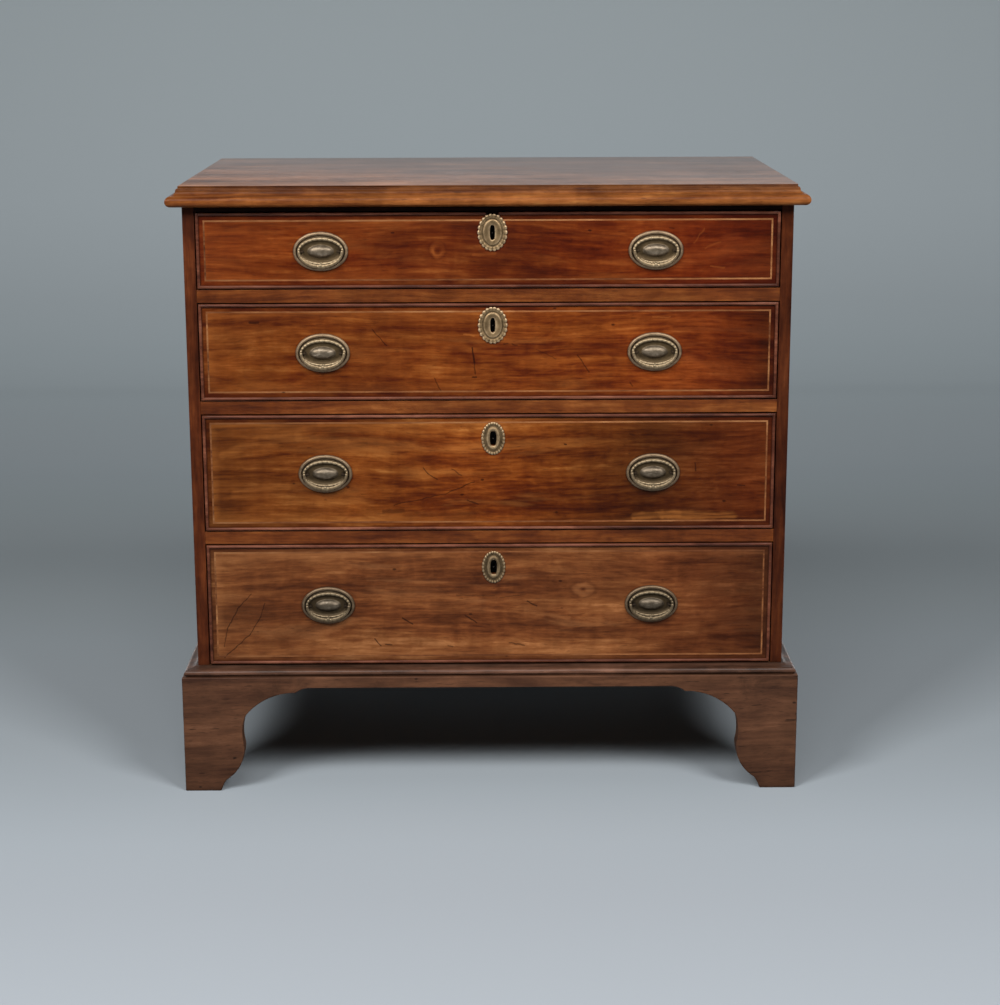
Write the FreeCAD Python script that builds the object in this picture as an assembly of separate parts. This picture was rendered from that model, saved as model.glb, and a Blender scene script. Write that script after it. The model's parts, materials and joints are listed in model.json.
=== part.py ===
import FreeCAD, Part
import math
import os

# A George III mahogany bachelor's chest: a caddy-moulded top over four long
# graduated drawers, on a plinth sawn into bracket feet.
#
# Millimetres. +Z is up, the drawers face -Y and +X is to the right of someone
# who stands in front. The origin is on the floor, in the middle of the chest's
# overall footprint.

Vec = FreeCAD.Vector

# ---------------------------------------------------------------- driving sizes

# Carcase
CASE_WIDTH = 820.0
CASE_DEPTH = 485.0
SIDE_THICKNESS = 16.0
BOTTOM_THICKNESS = 12.5
DIVIDER_THICKNESS = 18.0
TOP_RAIL_THICKNESS = 7.0
RAIL_DEPTH = 62.0
HOUSING_DEPTH = 8.0        # how far rails and dividers enter the sides
HOUSING_SETBACK = 7.0      # the housings stop this far behind the front
BACK_THICKNESS = 12.0
BACK_REBATE = 9.0
BACK_BOARD_COUNT = 4

# Top
TOP_THICKNESS = 27.5
TOP_OVERHANG = 20.0
TOP_BACK_OVERHANG = 12.0
TOP_ARRIS_OVERHANG = 4.0   # the flat of the top ends this far past the case
TOP_FILLET = 3.2           # upright step below the arris
TOP_BEAD = 3.0             # quarter round below the step
TOP_NOSE = 7.35            # radius of the half round under the cove
TOP_COVE_SAG = 1.1

# Base moulding and plinth
PLINTH_HEIGHT = 167.0
PLINTH_THICKNESS = 24.0
PLINTH_OVERHANG = 21.0
PLINTH_ARRIS = 1.5
MOULDING_BEAD = 3.4        # radius of the astragal
MOULDING_QUIRK = 2.2       # height of the sunk line below the astragal
MOULDING_BEAD_OUT = 14.5   # middle of the astragal, from the case
MOULDING_TOP_LEDGE = 3.0
MOULDING_COVE_SAG = 0.8
APRON_HEIGHT = 16.0
FOOT_TOE = 50.0            # width of the foot on the floor
FOOT_REACH = 176.0         # from the corner to where the bracket meets the apron
FOOT_CUSP = 18.0           # width of the small hollow beside the apron
FOOT_ARCH = 69.5           # points of the bracket's sawn edge, out from the toe, from the arch down
FOOT_SHOULDER = 37.5
FOOT_WAIST = 32.4
FOOT_BELLY = 34.6
FOOT_CALF = 29.5
FOOT_ANKLE = 8.0
FOOT_NICK = 4.5
REAR_BRACKET_WIDTH = 130.0
REAR_BRACKET_THICKNESS = 20.0
GLUE_BLOCK = 32.0
GLUE_BLOCK_LIFT = 18.0     # the corner blocks stop short of the floor
GLUE_STRIP = 14.0

# Drawers, from the top down
DRAWER_HEIGHTS = (102.0, 132.0, 162.0, 172.0)
SPACE_BEHIND = 18.0        # from the drawers to the back boards
FRONT_GAP = 1.5            # above and below a drawer front
SIDE_GAP = 1.5
FRONT_THICKNESS = 22.0
SIDE_BOARD = 9.0
SIDE_DROP = 4.0            # the sides are this much lower than the front
BACK_DROP = 5.0            # and the back this much lower than the sides
BOTTOM_BOARD = 6.5
BOTTOM_HEIGHT = 7.5        # underside of the bottom board above the sides' edge
BOTTOM_TONGUE = 4.5
RUN_CLEARANCE = 0.3
RUNNER_WIDTH = 34.0
RUNNER_HOUSING = 6.0
DUSTBOARD = 9.0
DUSTBOARD_TONGUE = 8.0
STOP_SIZE = (34.0, 24.0, 5.0)
STOP_POSITION = 0.27       # of the case width, either side of the middle

# Drawer joints and trim
TAIL_PITCH = 49.0
TAIL_LENGTH = 15.0
TAIL_SLOPE = 1.0 / 7.0
PIN_TIP = 6.0
BEAD_WIDTH = 4.2
MITRE_CLEARANCE = 0.05      # how far each end of a bead stays short of the mitre
BEAD_DEPTH = 6.0
BEAD_PROUD = 2.5
STRING_INSET = 10.0
STRING_WIDTH = 2.2
STRING_DEPTH = 1.6

# Brasses
HANDLE_SPREAD = 225.5      # handle centres from the middle
HANDLE_DROP = 1.0          # handle centres below the middle of the drawer
OVAL_FLATS = 24            # facets around every oval plate
PLATE_HALF = (37.0, 26.5)
PLATE_EDGE = 1.2           # thickness where the plates meet the wood
PLATE_RIM = 3.2
PLATE_FIELD = 1.6          # thickness of the sunk part
BOSS_HALF = (15.5, 9.0)
BOSS_HEIGHT = 4.0
BAIL_HALF_SPAN = 29.0
BAIL_DROP = 20.0
BAIL_BAR = 4.0
BAIL_FLATS = 12            # facets along the hanging half oval
BAIL_STAND = 6.7           # pivot line in front of the drawer face
PIN_RADIUS = 1.0           # to the corners of its facets
PIN_FLATS = 8
PIVOT_CLEARANCE = 0.3
POST_SQUARE = 4.2
POST_INSET = 5.0           # from the middle of the bail's bar to the middle of the post
POST_HEAD = 2.8            # post past the pivot line
POST_HOLE_CLEARANCE = 0.2
POST_TAIL = 5.0            # post past the back of the drawer front, for its nut

# Escutcheons and locks
LOCK_OFFSET = 5.5          # the locks sit a little right of the middle
KEYHOLE_DROPS = (27.5, 30.0, 33.5, 33.0)     # below the upper edges of the drawers
LARGE_ESCUTCHEON = {"half": (20.5, 25.5), "keyhole": (7.0, 20.0)}
SMALL_ESCUTCHEON = {"half": (16.5, 23.2), "keyhole": (9.4, 20.5)}
ESCUTCHEON_RIM = 2.2
ESCUTCHEONS = (LARGE_ESCUTCHEON, LARGE_ESCUTCHEON, SMALL_ESCUTCHEON, SMALL_ESCUTCHEON)
NOTCH_CLEARANCE = 0.2
LOCK_WIDTH = 62.0
LOCK_DEPTH = 11.0
LOCK_BELOW_KEY = 17.0
SELVEDGE_WIDTH = 84.0
SELVEDGE_THICKNESS = 2.0
KEYHOLE_RELIEF = 1.0       # the hole in the wood is this much larger than in the brass
BOLT_SIZE = (24.0, 5.0, 16.0)
BOLT_SUNK = 1.0            # the bolt lies this far below the selvedge
BOLT_CLEARANCE = 0.4
MORTISE_DEPTH = 9.0
MORTISE_CLEARANCE = 1.2

# ---------------------------------------------------------------- worked-out sizes

half_case = CASE_WIDTH / 2
half_inside = half_case - SIDE_THICKNESS
front_overhang = max(PLINTH_OVERHANG, TOP_OVERHANG)
overall_depth = front_overhang + CASE_DEPTH + TOP_BACK_OVERHANG

front_y = front_overhang - overall_depth / 2      # plane of the drawer faces
back_y = front_y + CASE_DEPTH
inside_back_y = back_y - BACK_THICKNESS
rail_back_y = front_y + RAIL_DEPTH

case_bottom_z = PLINTH_HEIGHT
first_floor_z = case_bottom_z + BOTTOM_THICKNESS

opening_floors = []        # from the top drawer down
floor_z = first_floor_z
for drawer_height in reversed(DRAWER_HEIGHTS):
    opening_floors.insert(0, floor_z)
    floor_z += drawer_height + 2 * FRONT_GAP + DIVIDER_THICKNESS
rail_bottom_z = floor_z - DIVIDER_THICKNESS
case_top_z = rail_bottom_z + TOP_RAIL_THICKNESS
divider_floors = opening_floors[:-1]              # each divider's upper face

runner_rise = FRONT_GAP - RUN_CLEARANCE
half_drawer = half_inside - SIDE_GAP
drawer_length = CASE_DEPTH - BACK_THICKNESS - SPACE_BEHIND
apron_bottom_z = PLINTH_HEIGHT - APRON_HEIGHT

# ---------------------------------------------------------------- building blocks


def box(x_span, y_span, z_span):
    """A box between two values on each axis."""
    low = Vec(x_span[0], y_span[0], z_span[0])
    size = (x_span[1] - x_span[0], y_span[1] - y_span[0], z_span[1] - z_span[0])
    return Part.makeBox(*size, low)


def mirrored(shape):
    """The same shape on the other side of the middle."""
    return shape.mirror(Vec(0, 0, 0), Vec(1, 0, 0))


def both_sides(shape):
    return [shape, mirrored(shape)]


def prism(points, direction):
    """A closed outline of straight lines, extruded."""
    wire = Part.makePolygon(points + [points[0]])
    return Part.Face(wire).extrude(direction)


def footprint(points, z_span):
    """An upright prism on an XY outline."""
    return prism([Vec(x, y, z_span[0]) for x, y in points], Vec(0, 0, z_span[1] - z_span[0]))


def outline_edges(steps, place):
    """Edges from steps of one point (a line) or two (an arc through the first)."""
    edges = []
    here = steps[0][0]
    for step in steps[1:]:
        if len(step) == 1:
            edges.append(Part.LineSegment(place(here), place(step[0])).toShape())
        else:
            edges.append(Part.Arc(place(here), place(step[0]), place(step[1])).toShape())
        here = step[-1]
    return edges


def extruded(steps, place, direction):
    """A closed outline of lines and arcs, extruded."""
    edges = outline_edges(steps + [steps[0]], place)
    return Part.Face(Part.Wire(edges)).extrude(direction)


def export(name, *solids):
    """Write one node, as one solid or as a group of separate solids."""
    shape = solids[0] if len(solids) == 1 else Part.makeCompound(list(solids))
    shape.exportStep(os.path.join("parts", name + ".step"))


def collar(section, z_span):
    """Front and side mouldings in one, mitred at the corners, square at the back.

    The section is steps of (out from the case, height above z_span[0]). The same
    section is run along the front and along the sides, and the mouldings meet
    where the two runs cross.
    """
    reach = 2 * TOP_OVERHANG + 2 * PLINTH_OVERHANG
    z_low = z_span[0]
    height = z_span[1] - z_low
    far = back_y + reach
    steps_y = section + [[(front_y - far, height)], [(front_y - far, 0)]]
    run_x = extruded(steps_y, lambda p: Vec(-half_case - reach, front_y - p[0], z_low + p[1]),
                     Vec(CASE_WIDTH + 2 * reach, 0, 0))
    steps_x = section + [[(-CASE_WIDTH / 2, height)], [(-CASE_WIDTH / 2, 0)]]
    half_run = extruded(steps_x, lambda p: Vec(half_case + p[0], front_y - reach, z_low + p[1]),
                        Vec(0, CASE_DEPTH + reach + TOP_BACK_OVERHANG, 0))
    run_y = half_run.fuse(mirrored(half_run)).removeSplitter()
    return run_x.common(run_y)


# ---------------------------------------------------------------- top


def top_board():
    """The top, with its caddy moulding worked along the front and both ends."""
    ledge_out = TOP_ARRIS_OVERHANG + TOP_BEAD
    bead_z = TOP_THICKNESS - TOP_FILLET
    cove_z = bead_z - TOP_BEAD
    cove_foot = (TOP_OVERHANG - TOP_NOSE, 2 * TOP_NOSE)
    diagonal = TOP_BEAD * math.sqrt(0.5)
    bead_middle = (TOP_ARRIS_OVERHANG + diagonal, bead_z - TOP_BEAD + diagonal)
    cove_middle = ((ledge_out + cove_foot[0]) / 2 - TOP_COVE_SAG,
                   (cove_z + cove_foot[1]) / 2 - TOP_COVE_SAG)
    section = [
        [(TOP_OVERHANG - TOP_NOSE, 0)],
        [(TOP_OVERHANG, TOP_NOSE), cove_foot],
        [cove_middle, (ledge_out, cove_z)],
        [bead_middle, (TOP_ARRIS_OVERHANG, bead_z)],
        [(TOP_ARRIS_OVERHANG, TOP_THICKNESS)],
    ]
    board = collar(section, (case_top_z, case_top_z + TOP_THICKNESS))
    behind = box((-CASE_WIDTH, CASE_WIDTH), (back_y + TOP_BACK_OVERHANG, back_y + CASE_DEPTH),
                 (case_top_z - 1, case_top_z + TOP_THICKNESS + 1))
    return board.cut(behind)


# ---------------------------------------------------------------- base


def base_mouldings():
    """The applied moulding over the plinth: a ledge, a small cove, an astragal and a quirk."""
    height = BOTTOM_THICKNESS
    bead_z = MOULDING_QUIRK + MOULDING_BEAD
    bead_top = (MOULDING_BEAD_OUT, bead_z + MOULDING_BEAD)
    cove_top = (MOULDING_TOP_LEDGE, height)
    cove_middle = ((bead_top[0] + cove_top[0]) / 2 - MOULDING_COVE_SAG,
                   (bead_top[1] + height) / 2 - MOULDING_COVE_SAG)
    section = [
        [(MOULDING_BEAD_OUT, 0)],
        [(MOULDING_BEAD_OUT, MOULDING_QUIRK)],
        [(MOULDING_BEAD_OUT + MOULDING_BEAD, bead_z), bead_top],
        [cove_middle, cove_top],
    ]
    span = (case_bottom_z, case_bottom_z + height)
    ring = collar(section, span)
    far = PLINTH_OVERHANG
    tall = (span[0] - 1, span[1] + 1)
    front = footprint([(-half_case, front_y), (-half_case - far, front_y - far),
                       (half_case + far, front_y - far), (half_case, front_y)], tall)
    left = footprint([(-half_case, front_y), (-half_case - far, front_y - far),
                      (-half_case - far, back_y), (-half_case, back_y)], tall)
    return ring.common(front), ring.common(left), ring.common(mirrored(left))


def bracket_profile(corner, direction):
    """Steps down one bracket foot, from the apron to the toe.

    Distances run from the corner of the plinth, direction +1 or -1 along the board.
    """
    def at(distance, height):
        return (corner + direction * distance, height)

    apron = apron_bottom_z
    return [
        [at(FOOT_REACH, apron)],
        [at(FOOT_REACH - FOOT_CUSP / 2, apron - 2), at(FOOT_REACH - FOOT_CUSP, apron - 7)],
        [at(FOOT_TOE + FOOT_ARCH, 0.90 * apron), at(FOOT_TOE + FOOT_SHOULDER, 0.735 * apron)],
        [at(FOOT_TOE + FOOT_WAIST, 0.58 * apron), at(FOOT_TOE + FOOT_BELLY, 0.44 * apron)],
        [at(FOOT_TOE + FOOT_CALF, 0.265 * apron), at(FOOT_TOE + FOOT_ANKLE, 0.105 * apron)],
        [at(FOOT_TOE + FOOT_NICK, 0.07 * apron)],
        [at(FOOT_TOE, 0)],
    ]


def plinth_elevation(low, high):
    """The sawn outline of a plinth board between two corners."""
    left_foot = bracket_profile(low, 1)
    right_foot = bracket_profile(high, -1)
    going_up = []
    points = [step[:] for step in left_foot]
    here = points[0][0]
    for step in points[1:]:
        going_up.insert(0, step[:-1] + [here])
        here = step[-1]
    return ([[(low, 0)], [(FOOT_TOE + low, 0)]] + going_up + right_foot
            + [[(high, 0)], [(high, PLINTH_HEIGHT)], [(low, PLINTH_HEIGHT)]])


def plinth_boards():
    """Front and side plinth boards, each sawn into two bracket feet, mitred together."""
    outer_x = half_case + PLINTH_OVERHANG
    outer_y = front_y - PLINTH_OVERHANG
    thickness = PLINTH_THICKNESS
    span = (-1, PLINTH_HEIGHT + 1)
    steps = plinth_elevation(-outer_x, outer_x)
    front = extruded(steps, lambda p: Vec(p[0], outer_y, p[1]), Vec(0, thickness, 0))
    front = front.common(footprint([(-outer_x, outer_y), (outer_x, outer_y),
                                    (outer_x - thickness, outer_y + thickness),
                                    (thickness - outer_x, outer_y + thickness)], span))
    steps = plinth_elevation(outer_y, back_y)
    left = extruded(steps, lambda p: Vec(-outer_x, p[0], p[1]), Vec(thickness, 0, 0))
    left = left.common(footprint([(-outer_x, outer_y), (thickness - outer_x, outer_y + thickness),
                                  (thickness - outer_x, back_y), (-outer_x, back_y)], span))
    return front, left, mirrored(left)


def rear_brackets():
    """Plain boards that close the rear feet at the back."""
    inner_x = half_case + PLINTH_OVERHANG - PLINTH_THICKNESS
    far_x = inner_x - REAR_BRACKET_WIDTH
    outline = [(-inner_x, 0), (-inner_x, PLINTH_HEIGHT), (-far_x, PLINTH_HEIGHT), (-far_x, apron_bottom_z),
               (FOOT_TOE - inner_x, FOOT_TOE), (FOOT_TOE - inner_x, 0)]
    points = [Vec(x, back_y - REAR_BRACKET_THICKNESS, z) for x, z in outline]
    return both_sides(prism(points, Vec(0, REAR_BRACKET_THICKNESS, 0)))


def glue_blocks():
    """Corner blocks that carry the case, and strips behind the aprons."""
    inner_x = half_case + PLINTH_OVERHANG - PLINTH_THICKNESS
    inner_y = front_y - PLINTH_OVERHANG + PLINTH_THICKNESS
    rear_y = back_y - REAR_BRACKET_THICKNESS
    tall = (GLUE_BLOCK_LIFT, PLINTH_HEIGHT)
    blocks = []
    for y_span in ((inner_y, inner_y + GLUE_BLOCK), (rear_y - GLUE_BLOCK, rear_y)):
        blocks += both_sides(box((-inner_x, GLUE_BLOCK - inner_x), y_span, tall))
    high = (PLINTH_HEIGHT - GLUE_STRIP, PLINTH_HEIGHT)
    blocks.append(box((-half_case / 2, half_case / 2), (inner_y, inner_y + GLUE_STRIP), high))
    middle = (inner_y + rear_y) / 2
    quarter = (rear_y - inner_y - 2 * GLUE_BLOCK) / 4
    blocks += both_sides(box((-inner_x, GLUE_STRIP - inner_x), (middle - quarter, middle + quarter), high))
    return blocks


# ---------------------------------------------------------------- carcase


def mortise(upper_z):
    """The slot in a rail that a lock bolt rises into, cut from the rail's underside."""
    half_width = BOLT_SIZE[0] / 2 + MORTISE_CLEARANCE
    near, far = bolt_span_y()
    return box((LOCK_OFFSET - half_width, LOCK_OFFSET + half_width),
               (near - MORTISE_CLEARANCE, far + MORTISE_CLEARANCE), (upper_z - 1, upper_z + MORTISE_DEPTH))


def rail_with_tongues(z_span, y_span, setback):
    """A flat rail between the sides, with a tongue at each end that is housed in the side."""
    rail = box((-half_inside, half_inside), y_span, z_span)
    tongue = box((-half_inside - HOUSING_DEPTH, -half_inside), (y_span[0] + setback, y_span[1]), z_span)
    return rail.fuse(both_sides(tongue)).removeSplitter()


def divider(upper_z):
    """A rail between two drawers, grooved behind for the dustboard."""
    z_span = (upper_z - DIVIDER_THICKNESS, upper_z)
    rail = rail_with_tongues(z_span, (front_y, rail_back_y), HOUSING_SETBACK)
    middle = upper_z - DIVIDER_THICKNESS / 2
    inner = half_inside - RUNNER_WIDTH + DUSTBOARD_TONGUE
    groove = box((-inner, inner), (rail_back_y - DUSTBOARD_TONGUE, rail_back_y),
                 (middle - DUSTBOARD / 2, middle + DUSTBOARD / 2))
    return rail.cut([groove, mortise(z_span[0])])


def top_rails():
    """The rails that tie the sides together under the top, front and rear."""
    z_span = (rail_bottom_z, case_top_z)
    front = rail_with_tongues(z_span, (front_y, rail_back_y), HOUSING_SETBACK)
    rear = rail_with_tongues(z_span, (inside_back_y - RAIL_DEPTH, inside_back_y), 0)
    return front.cut(mortise(rail_bottom_z)), rear


def runners():
    """Runners beside the dustboards, thin slips on the bottom board, and kickers under the top."""
    pieces = []
    inner = half_inside - RUNNER_WIDTH
    outer = half_inside + RUNNER_HOUSING
    y_span = (rail_back_y, inside_back_y)
    for upper_z in divider_floors:
        runner = box((-outer, -inner), y_span, (upper_z - DIVIDER_THICKNESS, upper_z + runner_rise))
        middle = upper_z - DIVIDER_THICKNESS / 2
        groove = box((-inner - DUSTBOARD_TONGUE, -inner), y_span,
                     (middle - DUSTBOARD / 2, middle + DUSTBOARD / 2))
        pieces += both_sides(runner.cut(groove))
    slip_z = (first_floor_z, first_floor_z + runner_rise)
    pieces += both_sides(box((-half_inside, -inner), (rail_back_y, inside_back_y), slip_z))
    kicker_y = (rail_back_y, inside_back_y - RAIL_DEPTH)
    pieces += both_sides(box((-half_inside, -inner), kicker_y, (rail_bottom_z, case_top_z)))
    return pieces


def dustboards():
    """Thin boards between the drawers, in the grooves of the dividers and runners."""
    half_width = half_inside - RUNNER_WIDTH + DUSTBOARD_TONGUE
    boards = []
    for upper_z in divider_floors:
        middle = upper_z - DIVIDER_THICKNESS / 2
        boards.append(box((-half_width, half_width), (rail_back_y - DUSTBOARD_TONGUE, inside_back_y),
                          (middle - DUSTBOARD / 2, middle + DUSTBOARD / 2)))
    return boards


def drawer_stops():
    """Two small blocks for each drawer, just behind its front."""
    width, depth, height = STOP_SIZE
    middle = STOP_POSITION * CASE_WIDTH
    near = front_y + FRONT_THICKNESS + RUN_CLEARANCE
    stops = []
    for floor in opening_floors:
        stops += both_sides(box((-middle - width / 2, -middle + width / 2), (near, near + depth),
                                (floor, floor + height)))
    return stops


def case_bottom():
    """The bottom board, its ends let into rebates in the sides."""
    return box((-half_inside - BACK_REBATE, half_inside + BACK_REBATE), (front_y, inside_back_y),
               (case_bottom_z, first_floor_z))


def case_side():
    """The left side, with housings for the rails and runners and a rebate for the back."""
    side = box((-half_case, -half_inside), (front_y, back_y), (case_bottom_z, case_top_z))
    housing_x = (-half_inside - HOUSING_DEPTH, -half_inside)
    front_span = (front_y + HOUSING_SETBACK, rail_back_y)
    cuts = [
        box(housing_x, front_span, (rail_bottom_z, case_top_z)),
        box(housing_x, (inside_back_y - RAIL_DEPTH, inside_back_y), (rail_bottom_z, case_top_z)),
        box((-half_inside - BACK_REBATE, -half_inside), (inside_back_y, back_y), (case_bottom_z, case_top_z)),
        box((-half_inside - BACK_REBATE, -half_inside), (front_y, inside_back_y),
            (case_bottom_z, first_floor_z)),
    ]
    for upper_z in divider_floors:
        lower_z = upper_z - DIVIDER_THICKNESS
        cuts.append(box(housing_x, front_span, (lower_z, upper_z)))
        cuts.append(box((-half_inside - RUNNER_HOUSING, -half_inside), (rail_back_y, inside_back_y),
                        (lower_z, upper_z + runner_rise)))
    return side.cut(cuts)


def back_boards():
    """Upright boards nailed into the rebates of the sides."""
    half_width = half_inside + BACK_REBATE
    width = 2 * half_width / BACK_BOARD_COUNT
    boards = []
    for number in range(BACK_BOARD_COUNT):
        low = number * width - half_width
        boards.append(box((low, low + width), (inside_back_y, back_y), (case_bottom_z, case_top_z)))
    return boards


# ---------------------------------------------------------------- brasses


def oval_points(half, centre, y):
    """Corners of a finely faceted oval, facing the front."""
    points = []
    for step in range(OVAL_FLATS):
        angle = 2 * math.pi * step / OVAL_FLATS
        points.append(Vec(centre[0] + half[0] * math.cos(angle), y, centre[1] + half[1] * math.sin(angle)))
    return points


def relief(rings, centre):
    """A low oval form on the drawer face, from rings of (half width, half height, thickness).

    From ring to ring either the proportion or the thickness stays, so every facet is flat.
    """
    back = (rings[0][0], rings[0][1], 0)
    outlines = [oval_points(ring, centre, front_y - ring[2]) for ring in [back] + rings]
    faces = []
    for outline in (outlines[0], outlines[-1]):
        faces.append(Part.Face(Part.makePolygon(outline + [outline[0]])))
    for outer, inner in zip(outlines, outlines[1:]):
        for here in range(-1, OVAL_FLATS - 1):
            corners = [outer[here], outer[here + 1], inner[here + 1], inner[here]]
            faces.append(Part.Face(Part.makePolygon(corners + [corners[0]])))
    shell = Part.makeShell(faces)
    shell.sewShape()
    return Part.makeSolid(shell)


def ring(half, share, thickness):
    return half[0] * share, half[1] * share, thickness


def slot(width, height, centre, y_span):
    """A round-ended upright slot, cut from front to back."""
    radius = width / 2
    straight = height / 2 - radius
    steps = [
        [(radius, -straight)],
        [(radius, straight)],
        [(0, straight + radius), (-radius, straight)],
        [(-radius, -straight)],
    ]
    edges = outline_edges(steps + [[(0, -straight - radius), steps[0][0]]],
                          lambda p: Vec(centre[0] + p[0], y_span[0], centre[1] + p[1]))
    return Part.Face(Part.Wire(edges)).extrude(Vec(0, y_span[1] - y_span[0], 0))


def handle_centres(number):
    """Centres of the left and right handles of a drawer, as (x, z)."""
    middle = drawer_floor(number) + DRAWER_HEIGHTS[number] / 2 - HANDLE_DROP
    return [(-HANDLE_SPREAD, middle), (HANDLE_SPREAD, middle)]


def post_centres(handle):
    spread = BAIL_HALF_SPAN - POST_INSET
    return [(handle[0] - spread, handle[1]), (handle[0] + spread, handle[1])]


def square_bar(size, centre, y_span):
    """A square bar or hole that runs front to back."""
    half = size / 2
    return box((centre[0] - half, centre[0] + half), y_span, (centre[1] - half, centre[1] + half))


def handle_plate(handle):
    """The stamped oval plate: a raised rim, a sunk field and a boss in the middle."""
    rings = [
        ring(PLATE_HALF, 1.0, PLATE_EDGE),
        ring(PLATE_HALF, 0.93, PLATE_RIM),
        ring(PLATE_HALF, 0.82, PLATE_FIELD),
        ring(BOSS_HALF, 1.0, PLATE_FIELD),
        ring(BOSS_HALF, 0.55, BOSS_HEIGHT),
    ]
    holes = [square_bar(POST_SQUARE, centre, (front_y - BAIL_STAND, front_y + 1))
             for centre in post_centres(handle)]
    return relief(rings, handle).cut(holes)


def handle_post(centre):
    """A square post, cross-drilled in front of the plate for the bail."""
    post = square_bar(POST_SQUARE, centre, (front_y - BAIL_STAND - POST_HEAD,
                                            front_y + FRONT_THICKNESS + POST_TAIL))
    start = Vec(centre[0] - POST_SQUARE, front_y - BAIL_STAND, centre[1])
    return post.cut(Part.makeCylinder(PIN_RADIUS + PIVOT_CLEARANCE, 2 * POST_SQUARE, start, Vec(1, 0, 0)))


def key_centre(number):
    top = drawer_floor(number) + DRAWER_HEIGHTS[number]
    return (LOCK_OFFSET, top - KEYHOLE_DROPS[number])


def escutcheon(number):
    """The oval keyhole plate, raised towards its edge."""
    half = ESCUTCHEONS[number]["half"]
    rings = [ring(half, 1.0, PLATE_EDGE), ring(half, 0.9, ESCUTCHEON_RIM), ring(half, 0.78, PLATE_FIELD)]
    width, height = ESCUTCHEONS[number]["keyhole"]
    hole = slot(width, height, key_centre(number), (front_y - FRONT_THICKNESS, front_y + 1))
    return relief(rings, key_centre(number)).cut(hole)


def bail_pin(centre, side):
    """One end of a bail, filed to a thin pin that turns in the post."""
    outline = []
    for step in range(PIN_FLATS):
        angle = 2 * math.pi * (step + 0.5) / PIN_FLATS
        outline.append(centre + Vec(side * BAIL_HALF_SPAN, PIN_RADIUS * math.cos(angle),
                                    PIN_RADIUS * math.sin(angle)))
    return prism(outline, Vec(-side * (POST_INSET + POST_SQUARE / 2), 0, 0))


def bail(handle):
    """The swing handle: a half oval bar hung on two pins."""
    centre = Vec(handle[0], front_y - BAIL_STAND, handle[1])
    half = BAIL_BAR / 2
    corners = []
    for edge, turns in ((half, range(BAIL_FLATS + 1)), (-half, range(BAIL_FLATS, -1, -1))):
        curve = []
        for turn in turns:
            angle = math.pi * turn / BAIL_FLATS
            curve.append(((BAIL_HALF_SPAN + edge) * math.cos(angle), -(BAIL_DROP + edge) * math.sin(angle)))
        corners += [(curve[0][0], half)] + curve + [(curve[-1][0], half)]
    bar = prism([centre + Vec(x, -half, z) for x, z in corners], Vec(0, BAIL_BAR, 0))
    return bar.fuse([bail_pin(centre, side) for side in (-1, 1)])


# ---------------------------------------------------------------- locks


def bolt_span_y():
    """Near and far faces of a lock bolt, which runs in the middle of the lock."""
    middle = front_y + FRONT_THICKNESS - LOCK_DEPTH / 2
    return middle - BOLT_SIZE[1] / 2, middle + BOLT_SIZE[1] / 2


def lock_outline(number):
    """The lock's case and its selvedge along the front's upper edge, with no hollows."""
    top = drawer_floor(number) + DRAWER_HEIGHTS[number]
    key_z = key_centre(number)[1]
    y_span = (front_y + FRONT_THICKNESS - LOCK_DEPTH, front_y + FRONT_THICKNESS)
    body = box((LOCK_OFFSET - LOCK_WIDTH / 2, LOCK_OFFSET + LOCK_WIDTH / 2), y_span,
               (key_z - LOCK_BELOW_KEY, top))
    selvedge = box((LOCK_OFFSET - SELVEDGE_WIDTH / 2, LOCK_OFFSET + SELVEDGE_WIDTH / 2), y_span,
                   (top - SELVEDGE_THICKNESS, top))
    return body.fuse(selvedge).removeSplitter()


def lock(number):
    """A half-mortise drawer lock, with the channel its bolt runs in."""
    top = drawer_floor(number) + DRAWER_HEIGHTS[number]
    near, far = bolt_span_y()
    half_width = BOLT_SIZE[0] / 2 + BOLT_CLEARANCE
    channel = box((LOCK_OFFSET - half_width, LOCK_OFFSET + half_width),
                  (near - BOLT_CLEARANCE, far + BOLT_CLEARANCE),
                  (top - BOLT_SUNK - BOLT_SIZE[2] - RUN_CLEARANCE, top + 1))
    return lock_outline(number).cut(channel)


def lock_bolt(number):
    """The bolt, drawn back into the lock."""
    near, far = bolt_span_y()
    upper = drawer_floor(number) + DRAWER_HEIGHTS[number] - BOLT_SUNK
    return box((LOCK_OFFSET - BOLT_SIZE[0] / 2, LOCK_OFFSET + BOLT_SIZE[0] / 2), (near, far),
               (upper - BOLT_SIZE[2], upper))


# ---------------------------------------------------------------- drawers


def drawer_floor(number):
    """Underside of a drawer's front and sides."""
    return opening_floors[number] + FRONT_GAP


def side_top(number):
    return drawer_floor(number) + DRAWER_HEIGHTS[number] - SIDE_DROP


def tails(number, root_y, tip_y, upper_z):
    """Dovetails for the left end of a drawer joint, flared from root_y to tip_y."""
    lower_z = drawer_floor(number)
    count = max(2, round((upper_z - lower_z) / TAIL_PITCH))
    pitch = (upper_z - lower_z) / count
    half_tip = (pitch - PIN_TIP) / 2
    half_root = half_tip - abs(tip_y - root_y) * TAIL_SLOPE
    shapes = []
    for position in range(count):
        middle = lower_z + (position + 0.5) * pitch
        outline = [(root_y, middle - half_root), (tip_y, middle - half_tip),
                   (tip_y, middle + half_tip), (root_y, middle + half_root)]
        shapes.append(prism([Vec(-half_drawer, y, z) for y, z in outline], Vec(SIDE_BOARD, 0, 0)))
    return shapes


def front_tails(number):
    root_y = front_y + FRONT_THICKNESS
    return tails(number, root_y, root_y - TAIL_LENGTH, side_top(number))


def back_tails(number):
    tip_y = front_y + drawer_length
    return tails(number, tip_y - SIDE_BOARD, tip_y, side_top(number))


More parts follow.
